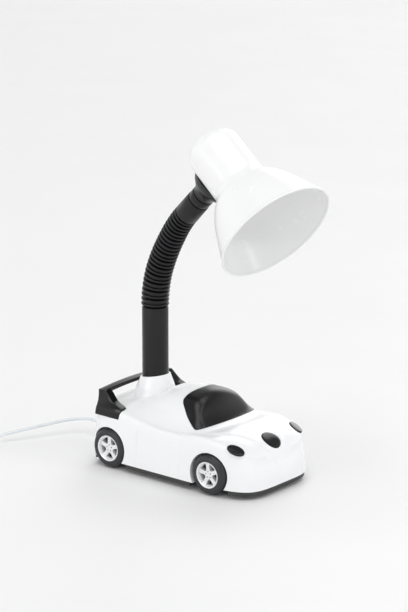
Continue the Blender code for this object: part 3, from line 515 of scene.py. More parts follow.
def outline_norm(x, y):
    """1 on the car's plan outline, 0 at its middle: rounder at the nose than at the tail."""
    if x > 0:
        return (abs(x / NOSE_X) ** 5 + abs(y / HALF_WIDTH) ** 5) ** (1 / 5)
    return (abs(x / TAIL_X) ** 10 + abs(y / HALF_WIDTH) ** 10) ** (1 / 10)


def outline_point(angle, inset=0.0):
    """Point on the plan outline in the direction of angle, moved inward by inset."""
    direction = Vector((math.cos(angle) * NOSE_X, math.sin(angle) * HALF_WIDTH))
    direction /= outline_norm(*direction)
    return Vector((direction.x * (1 - inset / NOSE_X), direction.y * (1 - inset / HALF_WIDTH)))


def nose_swell(p):
    """How far the bumper stands out in front of the hood's outline, at its lower edge."""
    toward_side = (abs(p.y) / HALF_WIDTH) ** 4
    return NOSE_SWELL * smooth_step((p.x - SWELL_START) / SWELL_REACH) * (1 - 0.5 * toward_side)


def skin_height(x, y):
    """Height of the painted skin: hood panel, fenders, greenhouse, side windows and tail."""
    x_mm, y_mm = x / MM, abs(y / MM)
    ridge = value_along(SHOULDER, x_mm)
    hood = value_along(HOOD, x_mm)
    deck = hood + (ridge - hood) * smooth_step(y_mm / 44)
    panel_edge = value_along(HOOD_PANEL, x_mm)
    deck += 1.2 * (1 - smooth_step((y_mm - panel_edge + 1.4) / 2.4)) * smooth_step((x_mm - 44) / 14)
    front = (max(x_mm + 5, 0) / 40.4) ** 10.5
    rear = (max(5 - x_mm, 0) / 39.6) ** 3
    toward_tail = smooth_step((12 - x_mm) / 36)
    side = (y_mm / (37.5 - 4 * toward_tail)) ** (10 - 5 * toward_tail)
    rise = max(1 / (1 + front + rear + side) - 0.02, 0) / 0.98
    roof = ROOF - 8.8 * (y_mm / 30) ** 1.9
    height = deck + (roof - deck) * rise
    window = smooth_step((y_mm - value_along(WINDOW_LINE, x_mm)) / 1.8)
    window *= smooth_step((50 - y_mm) / 3) * smooth_step((x_mm + 45) / 4)
    height -= 0.9 * window
    reach = (abs(x / NOSE_X) ** 5 + abs(y_mm / 64) ** 5) ** (1 / 5)
    nose = min(max((reach - 0.61) / 0.39, 0), 1)
    height -= 21.8 * (1 - (1 - nose ** 2.2) ** (1 / 2.2)) * smooth_step((x_mm - 45) / 35)
    return height * MM


def ring_angles(count):
    """Directions round the outline, spaced closer at its corners."""
    even = [math.tau * (i + 0.5) / count for i in range(count)]
    return [a - 0.16 * math.sin(2 * a) + 0.05 * math.sin(4 * a) for a in even]


def skin_rings(depth=0.0, count=300, inner_rings=46, corner_rings=9):
    """Rings from the body's lower edge, round its shoulder and in to its spine, sunk by depth."""
    angles = ring_angles(count)
    shoulder = [outline_point(a, DRAFT + EDGE_ROUND) for a in angles]
    top = [skin_height(*p) for p in shoulder]
    lip = [skin_height(*outline_point(a, 0.2 * MM)) - 1 * MM for a in angles]
    rings = []
    for level in (0, 0.08, 0.3, 0.5, 0.7, 0.85, 1):
        ring = []
        for a, t, z in zip(angles, top, lip):
            p = outline_point(a, DRAFT * 0.9 * level + depth)
            upper = min(t - EDGE_ROUND * 1.4, z) - depth
            swell = nose_swell(p) * (1 - level ** 2.5)
            ring.append((p.x + swell, p.y, BODY_BOTTOM + (upper - BODY_BOTTOM) * level))
        rings.append(ring)
    for step in range(1, corner_rings + 1):
        turn = step / corner_rings
        ring = []
        for a, t in zip(angles, top):
            p = outline_point(a, depth + DRAFT + EDGE_ROUND * (1 - math.cos(turn * math.pi / 2)))
            surface = skin_height(p.x, p.y)
            side = t - EDGE_ROUND * (1 - math.sin(turn * math.pi / 2))
            ring.append((p.x, p.y, (surface if turn == 1.0 else min(side, surface)) - depth))
        rings.append(ring)
    inner = [outline_point(a, depth + DRAFT + EDGE_ROUND) for a in angles]
    spine = [Vector((max(min(p.x * 0.85, 62 * MM), -58 * MM), 0)) for p in inner]
    for step in range(1, inner_rings + 1):
        ring = []
        for p, s in zip(inner, spine):
            q = p.lerp(s, step / inner_rings)
            ring.append((q.x, q.y, skin_height(q.x, q.y) - depth))
        rings.append(ring)
    return rings


def surface_frame(x, y):
    """Matrix on the body surface: local Z out of the surface, local X toward the nose."""
    step = 1 * MM
    slope_x = (skin_height(x + step, y) - skin_height(x - step, y)) / (2 * step)
    slope_y = (skin_height(x, y + step) - skin_height(x, y - step)) / (2 * step)
    normal = Vector((-slope_x, -slope_y, 1)).normalized()
    forward = Vector((1, 0, slope_x))
    forward = (forward - normal * forward.dot(normal)).normalized()
    across = normal.cross(forward)
    place = Matrix((forward, across, normal)).transposed().to_4x4()
    place.translation = Vector((x, y, skin_height(x, y)))
    return place


def skin_slab(name, inner, outer, rings):
    """The body's upper skin as a slab from inner to outer, measured out of the surface."""
    obj = place_object(name, loft(name, rings, capped=False, merge_last=True))
    mod = obj.modifiers.new("thickness", "SOLIDIFY")
    mod.thickness = outer - inner
    mod.offset = (outer + inner) / (outer - inner)
    return settle(obj)


def screen_prism(name, inset):
    """The windscreen's side outline, extruded right across the car."""
    centre = Vector((34, 68))
    curved = smooth_curve([(x, z, 0) for x, z in SCREEN_SIDE[3:]], 5)
    outline = []
    for point in [Vector(p) for p in SCREEN_SIDE[:3]] + [p.xy for p in curved]:
        toward = (centre - point).normalized()
        point = point + toward * inset / MM * 1.2
        outline.append((point.x * MM, point.y * MM))
    return prism(name, outline, -60 * MM, 60 * MM, Matrix.Rotation(math.pi / 2, 4, "X"))


def headlight_frame(side):
    return surface_frame(82.4 * MM, side * 42.7 * MM) @ Matrix.Rotation(side * math.radians(-19), 4, "Z")


def oval(half_length, half_width, count=64):
    return [(half_length * math.cos(math.tau * i / count), half_width * math.sin(math.tau * i / count))
            for i in range(count)]


def collar_rings(count=72):
    """The white funnel round the tube: its rim tips forward, its foot melts into the deck."""
    sections = ((24, 53, 0), (22, 56, 0), (20.6, 58.5, 0), (19.8, 61, 0), (18.9, 63.5, 0), (18.4, 65, 0.01),
                (18, 67, 0.02), (17.6, 69, 0.04), (16.7, 71.3, 0.07), (15.8, 73.5, 0.1),
                (14.9, 75.5, 0.13), (14.2, 77.3, 0.15), (13.7, 78.8, 0.16), (13.3, 79.2, 0.16))
    rings = []
    for radius, height, tip in sections:
        ring = []
        for i in range(count):
            a = math.tau * i / count
            x = radius * MM * math.cos(a)
            ring.append((TUBE_X + x, radius * MM * math.sin(a), height * MM + tip * x))
        rings.append(ring)
    return rings


def side_plate_rings(side, margin, levels=26):
    """One side plate of the spoiler, as level round-cornered sections from foot to wing."""
    sections = ((48, -74.5, -46.4, 51.2, 3.4), (51, -74.3, -45.7, 51, 3.4),
                (54, -74.1, -45, 50.4, 3.6), (57, -73.8, -44.6, 49.2, 7.4),
                (58.6, -73.7, -49, 48.6, 7.6), (61, -73.6, -55, 47.9, 7.8),
                (64, -73.6, -59, 47.3, 8), (67, -73.8, -62, 46.8, 8), (70.3, -74, -65.5, 46.4, 8))
    columns = [[(row[0], row[i]) for row in sections] for i in range(1, 5)]
    rings = []
    for level in range(levels):
        z = 48 + (70.3 - 48) * level / (levels - 1)
        rear, front, outer, thick = (value_along(column, z) for column in columns)
        lift = -margin if level == 0 else (margin if level == levels - 1 else 0)
        middle_x, middle_y = (rear + front) / 2 * MM, side * (outer - thick / 2) * MM
        half_x, half_y = (front - rear) / 2 * MM + margin, thick / 2 * MM + margin
        rings.append([(middle_x + x, middle_y + y, z * MM + lift)
                      for x, y in rounded_box(half_x, half_y, 0.6 * MM, 3)])
    return rings


def wheel_rod(name, radius, x, y_inner, y_outer, sides=96):
    """A bar on a wheel's axis, from y_inner to y_outer."""
    place = Matrix.Translation((x, 0, AXLE_Z)) @ Matrix.Rotation(-math.pi / 2, 4, "X")
    return rod(name, radius, min(y_inner, y_outer), max(y_inner, y_outer), sides, place)


def build_body():
    rings = skin_rings()
    coarse = skin_rings(count=150, inner_rings=24, corner_rings=4)
    shell = skin_slab("body", -WALL, 0, rings)
    stand = Matrix.Translation((TUBE_X, 0, 0))
    joined = [place_object("collar", loft("collar", collar_rings())),
              rod("tube socket", 15.2 * MM, SOCKET_FLOOR, 60 * MM, 48, stand)]
    inner_body = skin_rings(1 * MM, count=150, inner_rings=16, corner_rings=4)
    cuts = []
    for x in (-AXLE_X, AXLE_X):
        for side in (-1, 1):
            well = wheel_rod("well", ARCH_RADIUS + 1.6 * MM, x, side * 36.4 * MM, side * 51.5 * MM)
            limit = place_object("limit", loft("limit", inner_body, merge_last=True))
            joined.append(boolean(well, [limit], "INTERSECT"))
            arch = wheel_rod("arch", ARCH_RADIUS, x, side * 38 * MM, side * 60 * MM)
            cuts.append(arch)
            y = side * 37.2 * MM
            cuts.append(box_tool("axle slot", (x - 2.6 * MM, y - 4 * MM, 0),
                                 (x + 2.6 * MM, y + 4 * MM, AXLE_Z + 2.6 * MM)))
    for x, y in BOSSES:
        place = Matrix.Translation((x * MM, y * MM, 0))
        roof = skin_height(x * MM, y * MM) - 1.2 * MM
        joined.append(rod("boss", 3.6 * MM, BODY_BOTTOM, roof, 24, place))
        cuts.append(rod("pilot", 1.7 * MM, 0, 24 * MM, 16, place))
    boolean(shell, joined, "UNION")
    cuts.append(rod("collar bore", TUBE_RADIUS + GAP, SOCKET_FLOOR + 3.5 * MM, 100 * MM, 72, stand))
    cuts.append(rod("core way", 5.9 * MM, 20 * MM, 40 * MM, 24, stand))
    recess = skin_slab("screen recess", -1.3 * MM, 3 * MM, coarse)
    cuts.append(boolean(recess, [screen_prism("screen opening", 0)], "INTERSECT"))
    for side in (-1, 1):
        cuts.append(prism("pocket", oval(8.3 * MM, 5.7 * MM), -1.5 * MM, 4 * MM, headlight_frame(side)))
        cuts.append(place_object("notch", loft("notch", side_plate_rings(side, GAP))))
        for x in DOOR_SEAMS:
            seam = []
            for z, y in ((9.6, HALF_WIDTH), (43, HALF_WIDTH - DRAFT * 0.85)):
                low, high = side * (y - SEAM_DEPTH), side * (y + 1.5 * MM)
                seam.append([((x - 0.3) * MM, low, z * MM), ((x + 0.3) * MM, low, z * MM),
                             ((x + 0.3) * MM, high, z * MM), ((x - 0.3) * MM, high, z * MM)])
            cuts.append(place_object("seam", loft("seam", seam)))
    cuts.append(rod("button hole", BUTTON_RADIUS + GAP, -8 * MM, 6 * MM, 72, surface_frame(BUTTON_X, 0)))
    cuts.append(rod("cord exit", 4.2 * MM, -10 * MM, 10 * MM, 32, Matrix.Translation((TAIL_X, 0, 15 * MM))
                    @ Matrix.Rotation(math.pi / 2, 4, "Y")))
    boolean(shell, cuts, "DIFFERENCE")
    show("car_body", shell, "white_body", "base", ["body_shell"], sharp=28)

    screen = skin_slab("screen", -1.1 * MM, 0.05 * MM, rings)
    boolean(screen, [screen_prism("screen edge", GAP)], "INTERSECT")
    show("car_windscreen", screen, "gloss_black", "base", ["windscreen"], sharp=40,
         mat=MATERIALS["screen_black"])
    for side, word in ((1, "left"), (-1, "right")):
        lens = []
        for share, height in ((1, -1.2), (1, 0.1), (0.99, 0.3), (0.96, 0.45), (0.9, 0.55), (0.8, 0.64),
                              (0.6, 0.76), (0.3, 0.85), (0.02, 0.88)):
            lens.append([(x * share, y * share, height * MM) for x, y in oval(8 * MM, 5.4 * MM)])
        show(f"headlight_lens_{word}", loft("lens", lens), "gloss_black", "base",
             [f"headlight_{word}"], headlight_frame(side), sharp=50)


def build_spoiler():
    rings = []
    for i in range(49):
        y = (-46.2 + 92.4 * i / 48) * MM
        rise = 2.6 * MM * (1 - (y / (46.2 * MM)) ** 2)
        low, high = 66.8 * MM + rise, 70.3 * MM + rise
        middle = (low + high) / 2
        section = []
        for x, z in rounded_box(4.2 * MM, 1.75 * MM, 0.9 * MM, 5):
            crown = 0.25 * MM * (1 - (x / (4.2 * MM)) ** 2) if z > 0 else 0
            section.append((-69.8 * MM + x, y, middle + z + crown))
        rings.append(section)
    wing = place_object("wing", loft("wing", rings))
    plates = [place_object("plate", loft("plate", side_plate_rings(side, 0))) for side in (-1, 1)]
    boolean(wing, plates, "UNION")
    show("rear_wing", wing, "gloss_black", "base", ["spoiler"], sharp=32)


def build_button():
    """The button's face follows the hood's curve and has a softly rounded edge."""
    place = surface_frame(BUTTON_X, 0)
    steps = 72

    def face_height(x, y):
        w = 0.0
        for _ in range(5):
            p = place @ Vector((x, y, w))
            w += (skin_height(p.x, p.y) - p.z) * 0.8
        return w

    rings = []
    for radius, drop in ((2, -14.6), (2, -8.4), (10.3, -8.4), (10.3, -7.4), (9.3, -7.4)):
        rings.append([(radius * MM * math.cos(math.tau * i / steps),
                       radius * MM * math.sin(math.tau * i / steps), drop * MM) for i in range(steps)])
    for radius, sink in ((9.3, 1.0), (9.28, 0.6), (9.2, 0.3), (9.0, 0.08), (8.7, -0.05), (8, -0.15),
                         (6.5, -0.2), (4.5, -0.22), (2.5, -0.23), (0.8, -0.23)):
        ring = []
        for i in range(steps):
            x = radius * MM * math.cos(math.tau * i / steps)
            y = radius * MM * math.sin(math.tau * i / steps)
            ring.append((x, y, face_height(x, y) - sink * MM))
        rings.append(ring)
    show("nose_button", loft("button", rings), "gloss_black", "button", ["switch_button"], place, sharp=40)
    relabel(("switch_body",), "base_black")


# ---------------------------------------------------------------- wheels and base

def window_outline():
    """One opening between two spokes: a trapezoid with round corners, wider outside."""
    corners = ((4.3, 0.95), (8.9, 3.9), (9.5, 2.6), (9.75, 0), (9.5, -2.6), (8.9, -3.9), (4.3, -0.95))
    points = [Vector((x, y, 0)) for x, y in corners]
    loop = points[-1:] + points + points[:2]
    curve = smooth_curve(loop, 4)[4:-8]
    return [(p.x * MM, p.y * MM) for p in curve]


def build_wheels():
    half = TYRE_WIDTH / 2
    r, rim_r = TYRE_RADIUS, RIM_RADIUS
    tyre = [(rim_r + 0.2 * MM, half - 0.1 * MM), (rim_r + 0.7 * MM, half), (r - 3.6 * MM, half),
            (r - 3.1 * MM, half - 0.12 * MM), (r - 2.5 * MM, half - 0.35 * MM),
            (r - 1.9 * MM, half - 0.75 * MM), (r - 1.3 * MM, half - 1.3 * MM),
            (r - 0.8 * MM, half - 2.0 * MM), (r - 0.35 * MM, half - 2.9 * MM),
            (r - 0.1 * MM, half - 3.7 * MM),
            (r, half - 4.2 * MM)]
    for groove in (1.2, -0.6, -2.4):
        tyre += [(r, (groove + 0.5) * MM), (r - 0.5 * MM, (groove + 0.35) * MM),
                 (r - 0.5 * MM, (groove - 0.35) * MM), (r, (groove - 0.5) * MM)]
    tyre += [(r, -half + 2.8 * MM), (r - 0.6 * MM, -half + 1.2 * MM), (r - 2 * MM, -half),
             (rim_r + 0.2 * MM, -half)]
    rim = [(0, 5.0 * MM), (1.6 * MM, 5.0 * MM), (3.9 * MM, 4.75 * MM), (6.5 * MM, 4.6 * MM),
           (9.4 * MM, 4.5 * MM), (10.0 * MM, 4.6 * MM), (10.3 * MM, 5.2 * MM), (10.5 * MM, 6.2 * MM),
           (10.9 * MM, 6.45 * MM), (11.1 * MM, 6.5 * MM), (11.25 * MM, 6.85 * MM),
           (11.7 * MM, half), (rim_r, half - 0.3 * MM), (rim_r, -half), (10.4 * MM, -half),
           (10.4 * MM, 0), (3.6 * MM, 0), (3.6 * MM, -half), (0, -half)]
    for x, end in ((AXLE_X, "front"), (-AXLE_X, "rear")):
        for side, word in ((1, "left"), (-1, "right")):
            centre = side * (HALF_WIDTH - half)
            place = (Matrix.Translation((x, centre, AXLE_Z)) @ Matrix.Rotation(-side * math.pi / 2, 4, "X")
                     @ Matrix.Rotation(side * WHEEL_TURN[end], 4, "Z"))
            body = f"{end}_wheels"
            show(f"tread_{end}_{word}", lathe("tyre", tyre, 96), "tyre_rubber", body,
                 [f"tyre_{end}_{word}"], place, sharp=30)
            wheel = place_object("rim", lathe("rim", rim, 96), place)
            tools = [rod("socket", AXLE_RADIUS + GAP, -9 * MM, 1.5 * MM, 24, place)]
            for k in range(5):
                turn = place @ Matrix.Rotation(math.tau * (k + 0.5) / 5, 4, "Z")
                tools.append(prism("window", window_outline(), -8 * MM, 8 * MM, turn))
                spoke = place @ Matrix.Rotation(math.tau * k / 5, 4, "Z")
                tools.append(rod("bolt hole", 0.62 * MM, 4.0 * MM, 6 * MM, 20,
                                 spoke @ Matrix.Translation((2.8 * MM, 0, 0))))
            boolean(wheel, tools, "DIFFERENCE")
            edge = wheel.modifiers.new("soft edges", "BEVEL")
            edge.width = 0.18 * MM
            edge.segments = 2
            edge.limit_method = "ANGLE"
            edge.angle_limit = math.radians(50)
            settle(wheel)
            show(f"wheel_{end}_{word}", wheel, "rim_silver", body, [f"rim_{end}_{word}"], sharp=40)
            # Painted shade: a dark disc just behind the spoke windows and dark cones at the bottom of the
            # bolt holes, where the wheel's hollows fall into shade.
            bm = bmesh.new()
            disc = [(r * MM, z * MM) for r, z in ((3.8, -0.4), (10.2, -0.4), (10.2, -1.2), (3.8, -1.2))]
            bm.from_mesh(lathe("shade disc", disc, 64))
            for k in range(5):
                a = math.tau * k / 5
                spot = Matrix.Translation((2.8 * MM * math.cos(a), 2.8 * MM * math.sin(a), 4.3 * MM))
                bmesh.ops.create_cone(bm, cap_ends=True, segments=6, radius1=0.52 * MM,
                                      radius2=0.42 * MM, depth=0.5 * MM, matrix=spot)
            show(f"wheel_bolts_{end}_{word}", mesh_from(bm, "hole_shade"), "steel", body, (), place,
                 mat=MATERIALS["painted_shade"])
    relabel(("front_axle", "rear_axle"), "steel")
    bearings = [f"bearing_{end}_{word}" for end in ("front", "rear") for word in ("left", "right")]
    relabel(bearings, "base_black")


def build_base():
    angles = ring_angles(220)
    levels = ((0.9 + 0.5, BASE_BOTTOM), (0.9 + 0.12, BASE_BOTTOM + 0.15 * MM), (0.9, BASE_BOTTOM + 0.5 * MM),
              (0.9, BODY_BOTTOM - GAP - 0.2 * MM), (0.9 + 0.2, BODY_BOTTOM - GAP))
    rings = []
    for inset, z in levels:
        outline = [outline_point(a, inset * MM) for a in angles]
        rings.append([(p.x + nose_swell(p), p.y, z) for p in outline])
    plate = place_object("base", loft("base", rings))
    cuts = []
    for x in (-AXLE_X, AXLE_X):
        for side in (-1, 1):
            cuts.append(box_tool("notch", (x - 20.5 * MM, min(side * 38 * MM, side * 60 * MM), 0),
                                 (x + 20.5 * MM, max(side * 38 * MM, side * 60 * MM), 30 * MM)))
    for x, y in BOSSES:
        place = Matrix.Translation((x * MM, y * MM, 0))
        cuts.append(rod("head well", 3.3 * MM, 0, 6.2 * MM, 32, place))
        cuts.append(rod("screw way", 1.7 * MM, 5 * MM, 12 * MM, 24, place))
    boolean(plate, cuts, "DIFFERENCE")
    show("under_tray", plate, "base_black", "base", ["base_plate"])
    rings = []
    for inset, z in ((0.6, 0), (0.25, 0.15), (0.05, 0.6), (0, 1.4), (0, 2.4), (0.1, 3.1), (0.3, 3.6)):
        outline = rounded_box(PAD_SIZE[0] / 2 - inset * MM, PAD_SIZE[1] / 2 - inset * MM, 5 * MM, 8)
        rings.append([(x, y, z * MM) for x, y in outline])
    pad = show("grip_pad", loft("pad", rings), "pad_rubber", "base", ["foam_pad"])
    relabel([f"base_screw_{i}" for i in (1, 2, 3, 4)], "steel")
    relabel(("counterweight",), "weight_iron")


# ---------------------------------------------------------------- neck and head

def neck_angle(s):
    """Lean of the neck from vertical at length s along it."""
    for (low, lean_low), (high, lean_high) in zip(NECK_LEAN, NECK_LEAN[1:]):
        if s <= high * MM:
            share = max(s / MM - low, 0) / (high - low)
            return math.radians(lean_low + (lean_high - lean_low) * share)
    return math.radians(NECK_LEAN[-1][1])


def rib_radius(s):
    """The ribs grow slimmer toward the head."""
    return RIB_RADIUS - RIB_TAPER * (s / NECK_LENGTH) ** 1.8


def head_frame(reach, height, lean):
    """Matrix in the neck's plane, reach out from the tube's axis, its local Z leaning forward."""
    place = Matrix.Translation((TUBE_X, 0, 0)) @ Matrix.Rotation(NECK_TURN, 4, "Z")
    return place @ Matrix.Translation((reach, 0, height)) @ Matrix.Rotation(lean, 4, "Y")


def neck_frame(s):
    """Matrix at length s along the neck: local Z along it, local X in its plane of bend."""
    steps = 240
    length = min(max(s, 0), NECK_LENGTH)
    reach, height = 0.0, TUBE_TOP
    for i in range(steps):
        angle = neck_angle((i + 0.5) * length / steps)
        reach += math.sin(angle) * length / steps
        height += math.cos(angle) * length / steps
    lean = neck_angle(length)
    reach += math.sin(lean) * (s - length)
    height += math.cos(lean) * (s - length)
    return head_frame(reach, height, lean)


def neck_profile(start, end):
    """Ribs outside, a hollow inside, and at the lower end a ball that turns in the piece below."""
    pitch = (end - start) / RIBS_PER_PIECE
    rib = ((1.9, -1.2), (1.2, -1.16), (0.6, -1.05), (0.2, -0.82), (0.03, -0.45), (0, 0),
           (0.03, 0.45), (0.2, 0.82), (0.6, 1.05), (1.2, 1.16), (1.9, 1.2))
    profile = []
    for k in range(RIBS_PER_PIECE):
        middle = start + (k + 0.5) * pitch
        profile += [(rib_radius(middle) - sunk * MM, middle + s * MM) for sunk, s in rib]
    bore = BALL_RADIUS + 0.25 * MM
    profile += [(bore, end - 0.9 * MM), (bore, start + 4.7 * MM), (7.4 * MM, start + 4.1 * MM),
                (7.4 * MM, start - 2.5 * MM)]
    for z in (-2.6, -2, -1.2, -0.4, 0.4, 1):
        profile.append((math.sqrt(BALL_RADIUS ** 2 - (z * MM) ** 2), start + z * MM))
    return profile


def build_neck():
    stand = Matrix.Translation((TUBE_X, 0, 0))
    top, floor = TUBE_TOP - 0.7 * MM, SOCKET_FLOOR + 3.5 * MM + GAP
    inner = 10.2 * MM
    tube = [(inner, top - 0.3 * MM), (inner + 0.3 * MM, top), (TUBE_RADIUS - 0.9 * MM, top),
            (TUBE_RADIUS - 0.45 * MM, top - 0.1 * MM), (TUBE_RADIUS - 0.12 * MM, top - 0.4 * MM),
            (TUBE_RADIUS, top - 0.9 * MM), (TUBE_RADIUS, top - 30 * MM), (TUBE_RADIUS, top - 60 * MM),
            (TUBE_RADIUS, floor), (inner, floor)]
    show("neck_tube", lathe("tube", tube, 96), "neck_black", "base", ["lower_tube"], stand)
    relabel(("gooseneck_core", "core_nut"), "steel")
    step = NECK_LENGTH / NECK_PIECES
    for k in range(NECK_PIECES):
        start = k * step
        hinge = neck_frame(start)
        mesh = lathe("ribs", neck_profile(start, start + step), 64, neck_frame)
        mesh.transform(hinge.inverted())
        body = "head" if k == NECK_PIECES - 1 else f"neck_{k + 1:02d}"
        show(f"gooseneck_{k + 1:02d}", mesh, "neck_black", body, [f"neck_ribs_{k + 1:02d}"], hinge)

    length = SLEEVE_LENGTH
    sleeve = [(6 * MM, length), (10.0 * MM, length), (10.45 * MM, length - 0.15 * MM),
              (10.7 * MM, length - 0.6 * MM), (10.8 * MM, length / 2), (10.95 * MM, 1.2 * MM),
              (10.8 * MM, GAP + 0.3 * MM), (10.4 * MM, GAP), (6 * MM, GAP)]
    show("gooseneck_sleeve", lathe("sleeve", sleeve, 80), "neck_black", "head", ["neck_sleeve"],
         neck_frame(NECK_LENGTH))
    length = RING_LENGTH
    ring = [(5.3 * MM, length), (9.7 * MM, length), (10.2 * MM, length - 0.2 * MM),
            (10.4 * MM, length - 0.7 * MM), (10.4 * MM, GAP + 0.9 * MM), (10.15 * MM, GAP + 0.35 * MM),
            (9.7 * MM, GAP), (5.3 * MM, GAP)]
    show("gooseneck_ring", lathe("ring", ring, 80), "neck_black", "head", ["neck_ring"],
         neck_frame(NECK_LENGTH + SLEEVE_LENGTH))


def shade_frame(station=0.0):
    """Matrix on the shade's axis, local Z from the mouth toward the closed end."""
    mouth = head_frame(MOUTH_REACH, MOUTH_HEIGHT, SHADE_DIP - math.pi / 2)
    return mouth @ Matrix.Translation((0, 0, station))


def shade_outer():
    """Outer profile of the shade as (radius, station), from the closed end to the mouth."""
    fillet = 11 * MM
    profile = [(0, SHADE_LENGTH), (SHADE_NECK_RADIUS * 0.3, SHADE_LENGTH)]
    for i in range(13):
        a = math.pi / 2 * (1 - i / 12)
        profile.append((SHADE_NECK_RADIUS - fillet + fillet * math.cos(a),
                        SHADE_LENGTH - fillet + fillet * math.sin(a)))
    bell = ((24.5, 60.5), (24.5, 58.5), (25.1, 55.2), (27.4, 51.6), (32, 46.4), (36.6, 40), (41.2, 31.6),
            (45.6, 21.4), (50, 10.6), (53.2, 2.4))
    curve = smooth_curve([(r * MM, s * MM, 0) for r, s in bell], 5)
    return profile + [(p.x, p.y) for p in curve]


def build_head():
    outer = shade_outer()
    bead = 1.0 * MM
    centre = (outer[-1][0] + 0.1 * MM, outer[-1][1] - 1.3 * MM)
    rim = []
    for i in range(9):
        a = math.radians(80 - 250 * i / 8)
        rim.append((centre[0] + bead * math.cos(a), centre[1] + bead * math.sin(a)))
    inner = []
    for i in range(len(outer) - 1, 1, -1):
        before = Vector(outer[i - 1])
        after = Vector(outer[min(i + 1, len(outer) - 1)])
        along = (after - before).normalized()
        inward = Vector((along.y, -along.x))
        inner.append(tuple(Vector(outer[i]) + inward * SHADE_WALL))
    inner.append((0, SHADE_LENGTH - SHADE_WALL))
    shade = place_object("shade skin", lathe("shade", outer + rim + inner, 144), shade_frame())
    nipple_axis = shade_frame(SADDLE_STATION) @ Matrix.Rotation(math.pi / 2, 4, "Y")
    way = (4.7 * MM + GAP, -60 * MM, -15 * MM, 32, nipple_axis)
    boolean(shade, [rod("nipple way", *way)], "DIFFERENCE")
    show("lamp_shade", shade, "white_shade", "head", ["shade"], sharp=50)

    start = neck_frame(NECK_LENGTH + SLEEVE_LENGTH + RING_LENGTH + GAP)
    contact = nipple_axis @ Matrix.Translation((0, 0, -SHADE_NECK_RADIUS))
    forward = contact.to_quaternion() @ Vector((1, 0, 0))
    along_table = ((0, 10.2), (0.22, 11), (0.45, 13.2), (0.7, 17), (1, 21.2), (1.35, 22.4))
    across_table = ((0, 10.2), (0.22, 10.5), (0.45, 11.8), (0.7, 14.2), (1, 16.8), (1.35, 18.2))
    shift_table = ((0, 0), (0.22, 0), (0.45, 0.3), (0.7, 1.4), (1, 2.4), (1.35, 2.6))
    rings = []
    steps = 27
    for i in range(steps + 1):
        share = 1.35 * i / steps
        position = start.translation.lerp(contact.translation, share)
        position += forward * value_along(shift_table, share) * MM
        turn = start.to_quaternion().slerp(contact.to_quaternion(), min(share, 1))
        place = Matrix.Translation(position) @ turn.to_matrix().to_4x4()
        along = value_along(along_table, share) * MM
        across = value_along(across_table, share) * MM
        if i == 0:
            along -= 0.5 * MM
            across -= 0.5 * MM
        rings.append([place @ Vector((along * math.cos(math.tau * j / 72),
                                      across * math.sin(math.tau * j / 72), 0)) for j in range(72)])
    saddle = place_object("saddle solid", loft("saddle", rings))
    boolean(saddle, [rod("shade seat", SHADE_NECK_RADIUS + GAP / 2, 40 * MM, 130 * MM, 144, shade_frame()),
                     rod("saddle way", *way)], "DIFFERENCE")
    show("shade_saddle", saddle, "neck_black", "head", ["saddle"], sharp=45)
    relabel(("head_nipple", "head_nut"), "steel")

    holder = [(0, 103), (14.4, 103), (16.2, 102.6), (17.4, 101.6), (18, 100)]
    for groove in (96, 92, 88, 84, 80, 76):
        holder += [(18, groove + 0.7), (17.5, groove + 0.3), (17.5, groove - 0.3), (18, groove - 0.7)]
    holder += [(18, 60.6), (17.7, 60.1), (17.2, 60), (15.2, 60), (14.75, 60.3), (14.6, 61), (14.6, 90),
               (0, 90)]
    show("bulb_holder", lathe("holder", [(r * MM, z * MM) for r, z in holder], 80), "holder_plastic",
         "head", ["lamp_holder"], shade_frame())
    thread = [(13.9, 89), (14.2, 88.6)]
    z = 87.6
    while z > 63.5:
        thread += [(14.2, z), (13.75, z - 0.9), (13.75, z - 1.7), (14.2, z - 2.6)]
        z -= 3.6
    thread += [(14.2, 62)]
    shell = thread + [(r - 0.35, z) for r, z in reversed(thread)]
    show("screw_shell", lathe("screw shell", [(r * MM, z * MM) for r, z in shell], 72), "brass", "head",
         ["socket_shell"], shade_frame())
    tab = [(0, 89.7), (4, 89.7), (4, 88.4), (3.6, 88.1), (2.4, 87.4), (1.8, 86.8), (1.2, 86.62), (0, 86.6)]
    show("contact_tab", lathe("contact", [(r * MM, z * MM) for r, z in tab], 48), "brass", "head",
         ["socket_contact"], shade_frame())


# ---------------------------------------------------------------- cord

